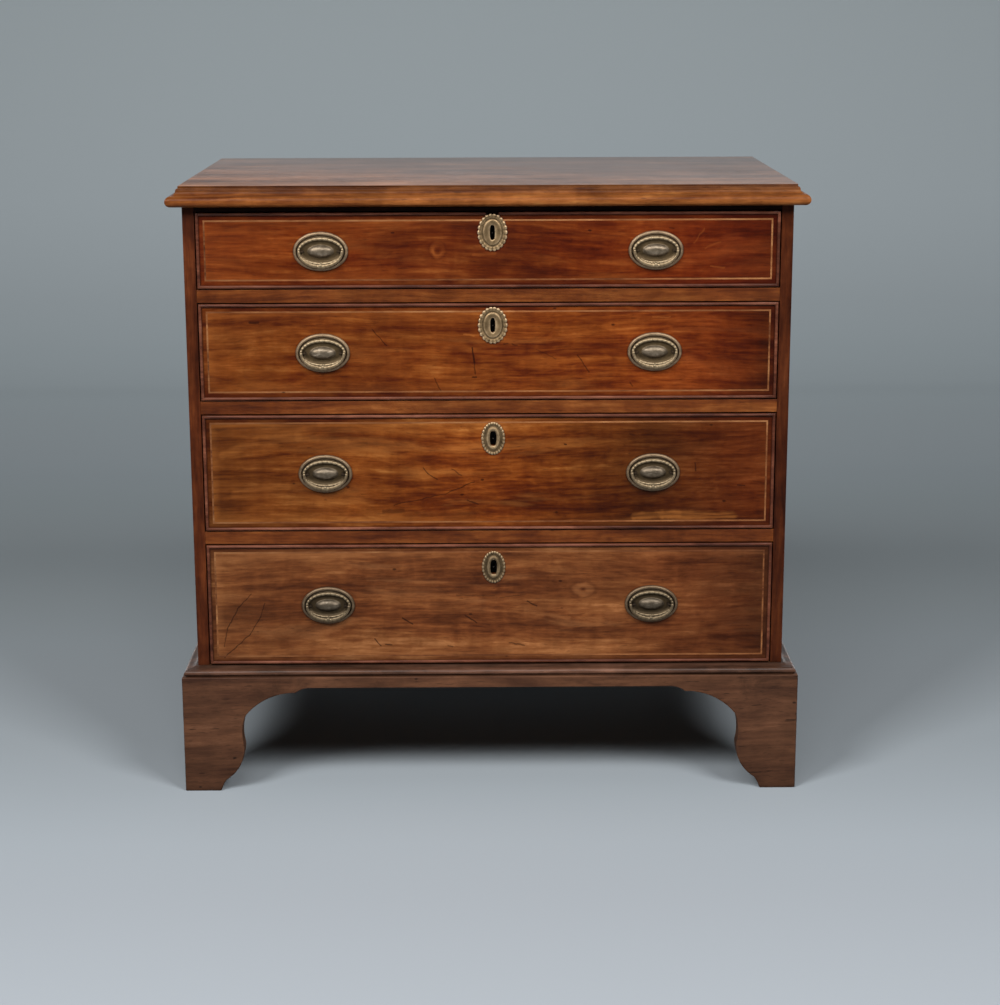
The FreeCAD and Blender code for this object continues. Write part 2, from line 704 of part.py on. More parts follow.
def bottom_board(number):
    """The drawer's bottom, slid in from behind in grooves of the sides and front."""
    half_width = half_drawer - SIDE_BOARD + BOTTOM_TONGUE
    low = drawer_floor(number) + BOTTOM_HEIGHT
    y_span = (front_y + FRONT_THICKNESS - BOTTOM_TONGUE, front_y + drawer_length)
    return box((-half_width, half_width), y_span, (low, low + BOTTOM_BOARD))


def drawer_sides(number):
    """Left and right sides and the back, dovetailed at all four corners."""
    low = drawer_floor(number)
    high = side_top(number)
    back_near = front_y + drawer_length - SIDE_BOARD
    left = box((-half_drawer, SIDE_BOARD - half_drawer), (front_y + FRONT_THICKNESS, back_near),
               (low, high))
    left = left.fuse(front_tails(number) + back_tails(number)).removeSplitter()
    left = left.cut(bottom_board(number))
    back_low = low + BOTTOM_HEIGHT + BOTTOM_BOARD
    back = box((-half_drawer, half_drawer), (back_near, back_near + SIDE_BOARD),
               (back_low, high - BACK_DROP))
    sockets = back_tails(number)
    back = back.cut(sockets + [mirrored(shape) for shape in sockets])
    return left, mirrored(left), back


def mitred_frame(half_width, z_span, strip_width, y_span, nose):
    """Four mitred strips around a rectangle; nose is how far their front edges are eased."""
    near, far = y_span
    low, high = z_span
    middle_z = (low + high) / 2
    half_height = (high - low) / 2
    strips = []
    for half_length, reach, turn in ((half_width, half_height, 0), (half_height, half_width, 90),
                                     (half_width, half_height, 180), (half_height, half_width, 270)):
        inner = reach - strip_width
        section = [
            [(far, -reach)],
            [(near + nose, -reach)],
            [(near, nose - reach)],
            [(near, -inner - nose)],
            [(near + nose, -inner)],
            [(far, -inner)],
        ]
        bar = extruded(section, lambda p, h=half_length: Vec(-h, p[0], p[1]), Vec(2 * half_length, 0, 0))
        end = half_length - MITRE_CLEARANCE
        mitre = prism([Vec(-end, near - 1, -reach), Vec(end, near - 1, -reach),
                       Vec(end - strip_width, near - 1, -inner),
                       Vec(strip_width - end, near - 1, -inner)], Vec(0, far - near + 2, 0))
        strip = bar.common(mitre)
        strip.rotate(Vec(0, 0, 0), Vec(0, -1, 0), turn)
        strip.translate(Vec(0, 0, middle_z))
        strips.append(strip)
    return strips


def drawer_span(number):
    low = drawer_floor(number)
    return low, low + DRAWER_HEIGHTS[number]


def cockbeads(number):
    """Beads with eased noses, let into the edges of the front, notched for the escutcheon."""
    strips = mitred_frame(half_drawer, drawer_span(number), BEAD_WIDTH,
                          (front_y - BEAD_PROUD, front_y + BEAD_DEPTH), BEAD_WIDTH / 3)
    half = [size + NOTCH_CLEARANCE for size in ESCUTCHEONS[number]["half"]]
    notch = relief([ring(half, 1.0, 2 * BEAD_PROUD)], key_centre(number))
    return [strip.cut(notch) for strip in strips]


def string_area(number):
    low, high = drawer_span(number)
    return half_drawer - STRING_INSET, (low + STRING_INSET, high - STRING_INSET)


def stringing(number):
    """Boxwood lines let in flush around the drawer front."""
    half_width, z_span = string_area(number)
    strips = []
    inner_x = half_width - STRING_WIDTH
    low, high = z_span
    y_span = (front_y, front_y + STRING_DEPTH)
    outlines = [
        [(-half_width, low), (half_width, low), (inner_x, low + STRING_WIDTH),
         (-inner_x, low + STRING_WIDTH)],
        [(half_width, high), (-half_width, high), (-inner_x, high - STRING_WIDTH),
         (inner_x, high - STRING_WIDTH)],
        [(-half_width, high), (-half_width, low), (-inner_x, low + STRING_WIDTH),
         (-inner_x, high - STRING_WIDTH)],
        [(half_width, low), (half_width, high), (inner_x, high - STRING_WIDTH),
         (inner_x, low + STRING_WIDTH)],
    ]
    for outline in outlines:
        strips.append(prism([Vec(x, y_span[0], z) for x, z in outline], Vec(0, STRING_DEPTH, 0)))
    return strips


def keyhole_in_wood(number):
    """The plain slot behind the escutcheon."""
    centre = key_centre(number)
    width, height = [size + KEYHOLE_RELIEF for size in ESCUTCHEONS[number]["keyhole"]]
    return box((centre[0] - width / 2, centre[0] + width / 2), (front_y - 1, front_y + FRONT_THICKNESS),
               (centre[1] - height / 2, centre[1] + height / 2))


def drawer_front(number):
    """The front board: rebated for the cockbeads, cut for stringing, lock, brasses and dovetails."""
    low, high = drawer_span(number)
    board = box((-half_drawer, half_drawer), (front_y + BEAD_DEPTH, front_y + FRONT_THICKNESS), (low, high))
    field = box((BEAD_WIDTH - half_drawer, half_drawer - BEAD_WIDTH), (front_y, front_y + BEAD_DEPTH),
                (low + BEAD_WIDTH, high - BEAD_WIDTH))
    board = board.fuse(field).removeSplitter()
    sockets = front_tails(number)
    cuts = stringing(number) + sockets + [mirrored(shape) for shape in sockets]
    cuts += [bottom_board(number), lock_outline(number)]
    cuts.append(keyhole_in_wood(number))
    for handle in handle_centres(number):
        for centre in post_centres(handle):
            cuts.append(square_bar(POST_SQUARE + POST_HOLE_CLEARANCE, centre,
                                   (front_y - 1, front_y + FRONT_THICKNESS + 1)))
    return board.cut(cuts)


def drawer_brasses(number):
    """Plates and posts of both handles, and the escutcheon."""
    pieces = []
    for handle in handle_centres(number):
        pieces.append(handle_plate(handle))
        pieces += [handle_post(centre) for centre in post_centres(handle)]
    pieces.append(escutcheon(number))
    return pieces


# ---------------------------------------------------------------- the whole chest


def build_carcase():
    export("top_board", top_board())
    side = case_side()
    export("case_side_left", side)
    export("case_side_right", mirrored(side))
    export("case_bottom", case_bottom())
    rail_front, rail_rear = top_rails()
    export("top_rail_front", rail_front)
    export("top_rail_rear", rail_rear)
    for number, upper_z in enumerate(divider_floors, start=1):
        export(f"drawer_divider_{number}", divider(upper_z))
    export("drawer_runners", *runners())
    export("dustboards", *dustboards())
    export("drawer_stops", *drawer_stops())
    export("back_boards", *back_boards())
    moulding_front, moulding_left, moulding_right = base_mouldings()
    export("base_moulding_front", moulding_front)
    export("base_moulding_sides", moulding_left, moulding_right)
    plinth_front, plinth_left, plinth_right = plinth_boards()
    export("plinth_front", plinth_front)
    export("plinth_left", plinth_left)
    export("plinth_right", plinth_right)
    export("rear_foot_brackets", *rear_brackets())
    export("glue_blocks", *glue_blocks())


def build_drawer(number):
    name = f"drawer_{number + 1}"
    export(f"{name}_front", drawer_front(number))
    export(f"{name}_cockbeads", *cockbeads(number))
    export(f"{name}_stringing", *stringing(number))
    export(f"{name}_sides", *drawer_sides(number))
    export(f"{name}_bottom", bottom_board(number))
    export(f"{name}_brasses", *drawer_brasses(number))
    export(f"{name}_lock", lock(number))
    export(f"{name}_lock_bolt", lock_bolt(number))
    for side, handle in zip(("left", "right"), handle_centres(number)):
        export(f"{name}_bail_{side}", bail(handle))


os.makedirs("parts", exist_ok=True)
build_carcase()
for drawer_number in range(len(DRAWER_HEIGHTS)):
    build_drawer(drawer_number)
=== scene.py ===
import json
import math

import bmesh
import bpy
from mathutils import Matrix, Vector, noise


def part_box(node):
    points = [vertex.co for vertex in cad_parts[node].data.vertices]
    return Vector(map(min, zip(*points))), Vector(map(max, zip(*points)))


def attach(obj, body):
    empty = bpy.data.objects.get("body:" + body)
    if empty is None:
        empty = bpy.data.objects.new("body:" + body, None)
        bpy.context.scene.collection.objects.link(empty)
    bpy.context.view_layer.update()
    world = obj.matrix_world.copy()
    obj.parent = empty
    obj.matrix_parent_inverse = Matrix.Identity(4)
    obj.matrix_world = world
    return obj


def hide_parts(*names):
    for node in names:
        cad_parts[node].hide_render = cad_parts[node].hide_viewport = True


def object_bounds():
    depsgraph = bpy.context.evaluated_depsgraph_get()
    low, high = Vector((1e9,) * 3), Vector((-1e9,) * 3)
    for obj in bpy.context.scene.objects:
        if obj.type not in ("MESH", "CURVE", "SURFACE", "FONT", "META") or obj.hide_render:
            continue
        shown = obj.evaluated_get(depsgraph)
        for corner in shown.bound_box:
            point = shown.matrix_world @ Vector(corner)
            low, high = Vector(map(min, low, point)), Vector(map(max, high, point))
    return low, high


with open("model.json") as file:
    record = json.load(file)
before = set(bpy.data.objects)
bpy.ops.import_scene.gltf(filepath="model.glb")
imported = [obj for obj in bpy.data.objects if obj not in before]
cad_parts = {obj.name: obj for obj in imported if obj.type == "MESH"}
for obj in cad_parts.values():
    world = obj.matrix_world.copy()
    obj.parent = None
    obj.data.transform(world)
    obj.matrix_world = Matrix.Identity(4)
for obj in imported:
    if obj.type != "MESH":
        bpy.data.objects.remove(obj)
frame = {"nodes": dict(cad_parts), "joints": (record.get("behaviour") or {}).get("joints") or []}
cad_low, cad_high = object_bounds()
nodes = frame["nodes"]
MM = 0.001

# ---------------------------------------- sizes read from the frame

FACE_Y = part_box("drawer_1_stringing")[0].y  # plane of the drawer faces
PIVOT_Y = FACE_Y - 6.7 * MM  # axis of the bails
HANDLE_X = 225.5 * MM  # middle of a handle, to either side
BAIL_SPAN, BAIL_DROP = 29, 20  # half width and height of a bail, in millimetres
KEY_X = 5.5 * MM
KEY_DROPS = (27.5 * MM, 30.0 * MM, 33.5 * MM, 33.0 * MM)  # keyholes below the fronts' upper edges
BEAD_GAP = 8.6 * MM  # half the gap that drawer 1's escutcheon fills
LEDGE_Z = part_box("base_moulding_front")[1].z
BACK_LOW, BACK_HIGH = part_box("back_boards")
BACK_BOARD_WIDTH = (BACK_HIGH.x - BACK_LOW.x) / 4


def handle_z(number):
    """Height of the pivots, from the joint of the left bail."""
    name = f"drawer_{number}_bail_left_swing"
    return next(joint["pos_m"][2] for joint in frame["joints"] if joint["name"] == name)


# ---------------------------------------- camera, fitted to the photograph

CAMERA_AT = Vector((-0.0072, -3.12925, 1.09405))
PITCH, YAW, ROLL = 0.231639, 0.007543, -0.003073
FOCAL_PIXELS = 2150.1
PICTURE_PIXELS = 1005  # height of the photograph, its longer side
SENSOR_WIDTH = 36


def make_camera():
    """The camera that took the photograph."""
    ahead = Vector((math.sin(YAW) * math.cos(PITCH), math.cos(YAW) * math.cos(PITCH), -math.sin(PITCH)))
    level = Vector((math.cos(YAW), -math.sin(YAW), 0))
    upright = level.cross(ahead)
    right = math.cos(ROLL) * level + math.sin(ROLL) * upright
    up = math.cos(ROLL) * upright - math.sin(ROLL) * level
    data = bpy.data.cameras.new("camera")
    data.lens = FOCAL_PIXELS / PICTURE_PIXELS * SENSOR_WIDTH
    data.sensor_width = SENSOR_WIDTH
    data.clip_start, data.clip_end = 0.05, 50
    camera = bpy.data.objects.new("camera", data)
    turn = Matrix((right, up, -ahead)).transposed()
    camera.matrix_world = Matrix.Translation(CAMERA_AT) @ turn.to_4x4()
    bpy.context.scene.collection.objects.link(camera)
    bpy.context.scene.camera = camera


# ---------------------------------------- node helpers


class Tree:
    """Short ways to build a material's nodes."""

    def __init__(self, name):
        self.material = bpy.data.materials.new(name)
        self.material.use_nodes = True
        self.tree = self.material.node_tree
        self.tree.nodes.clear()
        self.output = self.tree.nodes.new("ShaderNodeOutputMaterial")

    def node(self, kind, inputs=None, **settings):
        made = self.tree.nodes.new(kind)
        for key, value in settings.items():
            setattr(made, key, value)
        for key, value in (inputs or {}).items():
            self.set(made.inputs[key], value)
        return made

    def set(self, socket, value):
        if isinstance(value, bpy.types.NodeSocket):
            self.tree.links.new(value, socket)
        else:
            socket.default_value = value

    def coords(self):
        return self.node("ShaderNodeTexCoord").outputs["Object"]

    def place(self):
        """The x, y and z of the coordinates."""
        return self.node("ShaderNodeSeparateXYZ", {0: self.coords()}).outputs

    def mapped(self, vector, scale, offset=(0, 0, 0), turn=(0, 0, 0)):
        """Coordinates moved by offset, stretched by scale and then turned."""
        moved = self.vector("ADD", vector, offset)
        return self.node("ShaderNodeMapping", {"Vector": moved, "Scale": scale, "Rotation": turn}).outputs[0]

    def noise(self, vector, scale, detail=2.0, roughness=0.5, distortion=0.0, output=0):
        """Noise of one scale, or of a scale for each axis. Output 1 is three noises, to move places by."""
        if isinstance(scale, tuple):
            vector, scale = self.mapped(vector, scale), 1.0
        inputs = {"Vector": vector, "Scale": scale, "Detail": detail, "Roughness": roughness,
                  "Distortion": distortion}
        return self.node("ShaderNodeTexNoise", inputs).outputs[output]

    def math(self, operation, *values, clamp=False):
        made = self.node("ShaderNodeMath", dict(enumerate(values)), operation=operation, use_clamp=clamp)
        return made.outputs[0]

    def product(self, *values):
        made = values[0]
        for value in values[1:]:
            made = self.math("MULTIPLY", made, value)
        return made

    def vector(self, operation, *vectors, **inputs):
        """A vector, or for a distance, a length or a dot product its number."""
        made = self.node("ShaderNodeVectorMath", {**dict(enumerate(vectors)), **inputs}, operation=operation)
        number = operation in ("DISTANCE", "LENGTH", "DOT_PRODUCT")
        return made.outputs["Value" if number else "Vector"]

    def remap(self, value, low, high, to_low=0.0, to_high=1.0, smooth=True):
        kind = "SMOOTHSTEP" if smooth else "LINEAR"
        return self.node("ShaderNodeMapRange", {0: value, 1: low, 2: high, 3: to_low, 4: to_high},
                         interpolation_type=kind).outputs[0]

    def linear(self, *values):
        return self.remap(*values, smooth=False)

    def ramp(self, value, stops):
        made = self.node("ShaderNodeValToRGB", {0: value})
        elements = made.color_ramp.elements
        while len(elements) < len(stops):
            elements.new(0.5)
        for element, (at, colour) in zip(elements, stops):
            element.position = at
            element.color = (*colour, 1)
        return made.outputs[0]

    def mix(self, share, first, second, blend="MIX"):
        made = self.node("ShaderNodeMix", data_type="RGBA", blend_type=blend, clamp_factor=True)
        self.set(made.inputs[0], share)
        self.set(made.inputs[6], first if isinstance(first, bpy.types.NodeSocket) else (*first, 1))
        self.set(made.inputs[7], second if isinstance(second, bpy.types.NodeSocket) else (*second, 1))
        return made.outputs[2]

    def near_line(self, place, start, end, width):
        """1 on a straight line over the surface, 0 from its half width outwards."""
        along = Vector(end) - Vector(start)
        offset = self.vector("SUBTRACT", place, start)
        share = self.vector("DOT_PRODUCT", offset, along / max(along.length_squared, 1e-9))
        share = self.math("ADD", share, 0.0, clamp=True)
        gap = self.vector("DISTANCE", offset, self.vector("SCALE", along, Scale=share))
        return self.remap(gap, 0.15 * width, 0.5 * width, 1.0, 0.0)

    def shaded(self, colour, level):
        """A colour made darker or lighter by one number."""
        grey = self.node("ShaderNodeCombineColor", {0: level, 1: level, 2: level}).outputs[0]
        return self.mix(1.0, colour, grey, "MULTIPLY")

    def bump(self, height, distance, strength, under=None):
        inputs = {"Height": height, "Distance": distance, "Strength": strength}
        if under is not None:
            inputs["Normal"] = under
        return self.node("ShaderNodeBump", inputs).outputs[0]

    def principled(self, inputs):
        shader = self.node("ShaderNodeBsdfPrincipled", inputs)
        self.tree.links.new(shader.outputs[0], self.output.inputs[0])
        return self.material


def srgb(*levels):
    """A colour from 0 to 255 levels, as the linear value the shaders take."""
    made = []
    for level in levels:
        part = level / 255
        made.append(part / 12.92 if part <= 0.04045 else ((part + 0.055) / 1.055) ** 2.4)
    return tuple(made)


def palette(*colours):
    return [srgb(*colour) for colour in colours]


def dimmed(colour, share):
    return tuple(share * part for part in colour)


# ---------------------------------------- wood

GRAIN_TURNS = {"x": (0, 0, 0), "y": (0, 0, math.pi / 2), "z": (0, math.pi / 2, 0)}
GRAIN_WANDER = 40 * MM
TONE_STOPS = (0.0, 0.27, 0.5, 0.74, 1.0)  # where a wood's five tones lie in its figure
TONE_SPREAD = 0.144  # how far the figure's noise strays from its mean
LIGHT_AND_TONE_AT = (-0.40, 0.0, 0.22, 0.40)  # places across the chest where the levels of painted light and of the wood's own tone are given
RED_RIGHT = (0.14, 0.36)  # across the chest, where the fronts turn redder
WORN_LEFT = (-0.25, 0.1)  # and where their golden wear gives out
# Distances in from a front's edges: where the bead ends and the border is at its darkest, and where it has
# lightened;
# where the string parts the border from the field; and how far the golden wear reaches from the ends and the
# sides.
BEAD_EDGE, BAND_EDGE = (4.4 * MM, 7.5 * MM), (9.4 * MM, 10.2 * MM)
END_WEAR, SIDE_WEAR = (10 * MM, 30 * MM), (0.0, 150 * MM)
PORE_DEPTH, SWELL_DEPTH = 0.12 * MM, 1.3 * MM  # of the bumps


def wood(name, seed, tones, grain="x", figure=0.5, pores=0.5, marks=0.3, rough=(0.28, 0.5), shine=0.15,
         coat=0.0, contrast=1.05, crevice_shade=0.55, reach=9 * MM, blotches=0.0, gold=0.0, fineness=1.0,
         rise=None, depth=None, light_and_tone=None, face=None, boards=None):
    """Polished timber: ribbons of figure, fine streaks, pores, bruises and worn polish.

    tones are five colours from the darkest streak to the brightest. figure, pores and marks are how
    strong the broad figure, the pores and the bruises are. rough is the roughness where it is
    polished and where it is dull. crevice_shade is how strongly painted shade darkens the corners
    within reach, blotches how strongly stains mottle the wood and gold how much of it has bleached
    to the brightest tone in flames. fineness scales the grain. rise is (low z, its level, high z, its
    level), a level that changes with height, painted light and shade on the top's moulded edge.
    depth is the level at the chest's front and at its back, painted light on the top. light_and_tone
    is the level at the places of LIGHT_AND_TONE_AT, painted light and shade together with the wood's
    own tone. face describes a drawer's face, for its border and scars. boards is (left edge, width)
    of upright boards side by side.
    """
    t = Tree(name)
    place = t.place()
    apart = (0, 0, 0)
    if boards is not None:
        count = t.math("DIVIDE", t.math("SUBTRACT", place[0], boards[0]), boards[1])
        number = t.math("FLOOR", count)
        apart = t.node("ShaderNodeCombineXYZ", {0: number, 1: number, 2: number}).outputs[0]
    here = along_grain(t, seed, grain, apart)

    def stretched(along, across, *shape):
        return t.noise(here, (fineness * along, fineness * across, fineness * across), *shape)

    streaks = stretched(4.6, 70, 4, 0.68, 0.25)
    layers = [
        (stretched(2.0, 18, 3, 0.55, 0.4), 0.34 * figure + 0.15),  # ribbons
        (streaks, 0.37),
        (stretched(15, 210, 3, 0.66, 0.2), 0.24),  # finer streaks
        (stretched(5, 10, 3), 0.31 - 0.1 * figure),  # clouds
        (stretched(28, 84, 3, 0.6, 0.8), 0.20),  # flames
        (stretched(70, 16, 2, 0.5, 0.4), 0.08),  # ripples across the grain
        (stretched(34, 480, 2, 0.6), 0.05),  # single fibres
    ]
    total = sum(weight for layer, weight in layers)
    value = 0.0
    for layer, weight in layers:
        value = t.math("MULTIPLY_ADD", layer, weight, value)
    spread = TONE_SPREAD / contrast
    value = t.linear(value, total / 2 - spread, total / 2 + spread)
    colour = t.ramp(value, list(zip(TONE_STOPS, tones)))

    glint = t.remap(stretched(5, 36, 4, 0.62, 0.4), 0.52, 0.70, 0.0, 0.5 * gold)
    colour = t.mix(glint, colour, tones[4])
    flecks = t.remap(stretched(130, 2100, 1), 0.60, 0.70)
    dashes = t.remap(stretched(52, 430, 2, 0.5), 0.655, 0.72)
    dark = t.math("MAXIMUM", t.product(flecks, 0.5), t.product(dashes, 0.75))
    colour = t.mix(t.product(dark, pores), colour, dimmed(tones[0], 0.55))
    bruise = bruises(t, here, marks)
    colour = t.mix(t.product(bruise, 0.75), colour, dimmed(tones[0], 0.3))
    darkening = t.noise(here, (14, 24, 24), 5, 0.65)
    colour = t.shaded(colour, t.linear(darkening, 0.36, 0.66, 0.78, 1.12))
    if blotches:
        stain = t.noise(t.mapped(t.coords(), (11, 11, 15), (seed, seed, seed)), 1.0, 6, 0.7, 0.6)
        colour = t.mix(t.remap(stain, 0.52, 0.70, 0.0, blotches), colour, tones[0])
    colour = levels_by_place(t, colour, place, rise, depth, light_and_tone)
    if boards is not None:
        colour = parted(t, colour, number, t.math("SUBTRACT", count, number), tones)
    if face is not None:
        colour = bordered(t, colour, place, streaks, tones, face)
        colour = scarred(t, colour, streaks, tones, face)
    # Painted shade: ambient occlusion darkens corners, gaps and the wood under overhangs.
    corner = t.node("ShaderNodeAmbientOcclusion", {"Distance": reach}, samples=6).outputs["AO"]
    darkness = t.linear(corner, 0.15, 0.80, crevice_shade, 0.0)
    colour = t.mix(darkness, colour, dimmed(tones[0], 0.2))

    polish = t.noise(here, (5, 9, 9), 4, 0.6)
    roughness = t.linear(polish, 0.3, 0.7, *rough)
    height = t.math("MULTIPLY_ADD", dark, -0.6, t.product(streaks, 0.6))
    height = t.math("MULTIPLY_ADD", bruise, -2.5, height)
    normal = t.bump(height, PORE_DEPTH, 0.7)
    swell = t.noise(here, (6, 16, 16))
    normal = t.bump(swell, SWELL_DEPTH, 0.6, normal)
    return t.principled({"Base Color": colour, "Roughness": roughness, "Normal": normal, "Coat Weight": coat,
                         "Coat Roughness": 0.32, "Coat IOR": 1.45, "Specular IOR Level": shine})


def along_grain(t, seed, grain, apart):
    """Coordinates that run with the grain, moved to a place of their own and a little wavy."""
    here = t.mapped(t.coords(), (1, 1, 1), (seed * 3.17, seed * 1.31, seed * 2.23), GRAIN_TURNS[grain])
    here = t.vector("ADD", here, apart)
    wander = t.noise(here, (2.2, 5, 5), output=1)
    return t.vector("ADD", here, t.vector("MULTIPLY", wander, (GRAIN_WANDER, GRAIN_WANDER, GRAIN_WANDER)))


def bruises(t, here, marks):
    """Small dents, on some of the cells of a pattern."""
    inputs = {"Vector": t.mapped(here, (38, 62, 62)), "Scale": 1.0, "Randomness": 1.0}
    cells = t.node("ShaderNodeTexVoronoi", inputs)
    pick = t.node("ShaderNodeSeparateColor", {0: cells.outputs["Color"]}).outputs[0]
    chosen = t.math("GREATER_THAN", pick, 1.0 - 0.22 * marks)
    return t.product(t.remap(cells.outputs["Distance"], 0.05, 0.14, 1.0, 0.0), chosen)


def levels_by_place(t, colour, place, rise, depth, light_and_tone):
    """Levels that change up the piece, from front to back and across the chest: painted light and shade,
    together with the wood's own broad changes of tone.
    """
    if rise is not None:
        low, low_level, high, high_level = rise
        colour = t.shaded(colour, t.linear(place[2], low, high, low_level, high_level))
    if depth is not None:
        colour = t.shaded(colour, t.linear(place[1], cad_low.y, cad_high.y, *depth))
    if light_and_tone is not None:
        level = light_and_tone[0]
        for first, last, before, after in zip(LIGHT_AND_TONE_AT, LIGHT_AND_TONE_AT[1:], light_and_tone, light_and_tone[1:]):
            level = t.math("ADD", level, t.linear(place[0], first, last, 0.0, after - before))
        colour = t.shaded(colour, level)
    return colour


def parted(t, colour, number, inside, tones):
    """Upright boards, each with its own tint, and the dark seams between them."""
    own = t.node("ShaderNodeTexWhiteNoise", {"W": number}, noise_dimensions="1D").outputs["Value"]
    colour = t.shaded(colour, t.linear(own, 0.0, 1.0, 0.78, 1.12))
    edge = t.math("MINIMUM", inside, t.math("SUBTRACT", 1.0, inside))
    return t.mix(t.remap(edge, 0.002, 0.010, 0.9, 0.0), colour, dimmed(tones[0], 0.15))


def bordered(t, colour, place, streaks, tones, face):
    """The redder right side, the darker band outside a drawer's string, darkest beside the bead, and the
    golden wear inside it.
    """
    tint = t.mix(t.remap(place[0], *RED_RIGHT), (1.0, 1.0, 1.0), face["red"])
    colour = t.mix(1.0, colour, tint, "MULTIPLY")
    near_side = t.math("SUBTRACT", face["half"], t.math("ABSOLUTE", place[0]))
    near_end = t.math("MINIMUM", t.math("SUBTRACT", place[2], face["low"]),
                      t.math("SUBTRACT", face["high"], place[2]))
    near = t.math("MINIMUM", near_side, near_end)
    band = t.remap(near, *BAND_EDGE, 1.0, 0.0)
    darker_beside_bead = t.remap(near, *BEAD_EDGE, 0.42 + 0.4 * face["darkness"], 0.10 + 0.6 * face["darkness"])
    end_glow = t.remap(near, *END_WEAR, 0.40, 0.0)
    side_glow = t.remap(near_side, *SIDE_WEAR, face["glow"], 0.0)
    left_only = t.remap(place[0], *WORN_LEFT, 1.0, 0.15)
    glow = t.math("MAXIMUM", end_glow, side_glow)
    warm = t.product(glow, t.remap(streaks, 0.35, 0.65, 0.3, 1.0), left_only)
    colour = t.mix(t.product(warm, t.math("SUBTRACT", 1.0, band)), colour, tones[4])
    return t.mix(t.product(band, darker_beside_bead), colour, dimmed(tones[0], 0.7))


def scarred(t, colour, streaks, tones, face):
    """Scratches, dents and knots, placed from the line of a drawer's handles."""
    place = t.coords()
    tremble = t.vector("SUBTRACT", t.noise(place, 90.0, output=1), (0.5, 0.5, 0.5))
    tremble = t.vector("SCALE", tremble, Scale=SCAR_TREMBLE)
    place = t.vector("MULTIPLY", t.vector("ADD", place, tremble), (1, 0, 1))
    for kind, x, z, to_x, to_z, width, strength in SCARS[face["number"]]:
        start = (x * MM, 0, face["middle"] + z * MM)
        end = (to_x * MM, 0, face["middle"] + to_z * MM)
        share = t.product(t.near_line(place, start, end, width * MM), strength)
        if width > BROAD_SCAR:
            share = t.product(share, t.remap(streaks, 0.38, 0.60, 0.1, 1.0))
        colour = t.mix(share, colour, dimmed(tones[0], 0.3) if kind == "dark" else tones[4])
    for x, z, half_x, half_z, core, one_sided in KNOTS[face["number"]]:
        offset = t.vector("SUBTRACT", place, (x * MM, 0, face["middle"] + z * MM))
        scaled = t.vector("MULTIPLY", offset, (1 / (half_x * MM), 0, 1 / (half_z * MM)))
        out = t.vector("LENGTH", scaled)
        halo = t.product(t.remap(out, core, core + 0.35), t.remap(out, 0.6, 1.25, 0.62, 0.0))
        lit = t.remap(t.vector("DOT_PRODUCT", scaled, (-0.7, 0, -0.7)), -0.8, 0.7, 1.0 - one_sided, 1.0)
        halo = t.product(halo, lit, t.remap(streaks, 0.36, 0.62, 0.45, 1.0))
        colour = t.mix(halo, colour, tones[4])
        rim = t.product(t.remap(out, 0.9, 1.15), t.remap(out, 1.1, 1.6, 0.28, 0.0))
        colour = t.mix(rim, colour, tones[0])
        colour = t.mix(t.remap(out, 0.3 * core, core + 0.1, 0.6, 0.0), colour, tones[0])
    return colour


# ---------------------------------------- brass and iron

# Painted shade: metal low on the chest is painted darker, up to its full colour at the upper height.
METAL_SHADE_HEIGHTS = (0.22, 0.66)  # between which the metal brightens upwards


def metal(name, seed, bright, mid, dark, rough=(0.38, 0.6), hollow=2.6 * MM, darkening=0.9):
    """Old cast or stamped metal: bright where it is rubbed and dark with patina in its hollows.
    Where the hollow reach is long, as in the iron locks, that darkening is painted shade, and lower down
    the chest the metal is painted darker as shade.
    """
    t = Tree(name)
    here = t.mapped(t.coords(), (1, 1, 1), (seed * 1.7, seed * 2.9, seed * 0.7))
    cloud = t.noise(here, 120, 4, 0.6)
    fine = t.noise(here, 900, 3, 0.6)
    hollow_patina_and_shade = t.node("ShaderNodeAmbientOcclusion", {"Distance": hollow}, samples=8).outputs["AO"]
    worn = t.remap(t.node("ShaderNodeNewGeometry").outputs["Pointiness"], 0.48, 0.57)
    level = t.math("MULTIPLY_ADD", cloud, 0.5, t.product(worn, 0.5))
    level = t.math("MULTIPLY_ADD", fine, 0.25, level)
    colour = t.ramp(level, [(0.25, dark), (0.55, mid), (0.85, bright)])
    # Hollows darkened: patina in the brass, and painted shade where the reach is long, as deep in the iron
    # locks' keyholes.
    colour = t.mix(t.remap(hollow_patina_and_shade, 0.30, 0.97, darkening, 0.0), colour, dimmed(dark, 0.3))
    # Painted shade: the lower down the chest, the darker the metal.
    colour = t.shaded(colour, t.linear(t.place()[2], *METAL_SHADE_HEIGHTS, 0.55, 1.0))
    roughness = t.linear(cloud, 0.3, 0.7, *rough)
    normal = t.bump(t.math("MULTIPLY_ADD", fine, 0.4, cloud), 0.15 * MM, 0.6)
    return t.principled({"Base Color": colour, "Metallic": 0.75, "Roughness": roughness, "Normal": normal})


TOP_TONES = palette((64, 42, 32), (86, 58, 42), (104, 72, 54), (120, 84, 62), (138, 98, 72))
EDGE_TONES = palette((72, 33, 13), (98, 51, 21), (119, 67, 29), (139, 82, 39), (158, 103, 53))
CASE_TONES = palette((60, 23, 7), (81, 37, 12), (99, 49, 18), (115, 62, 25), (137, 80, 38))
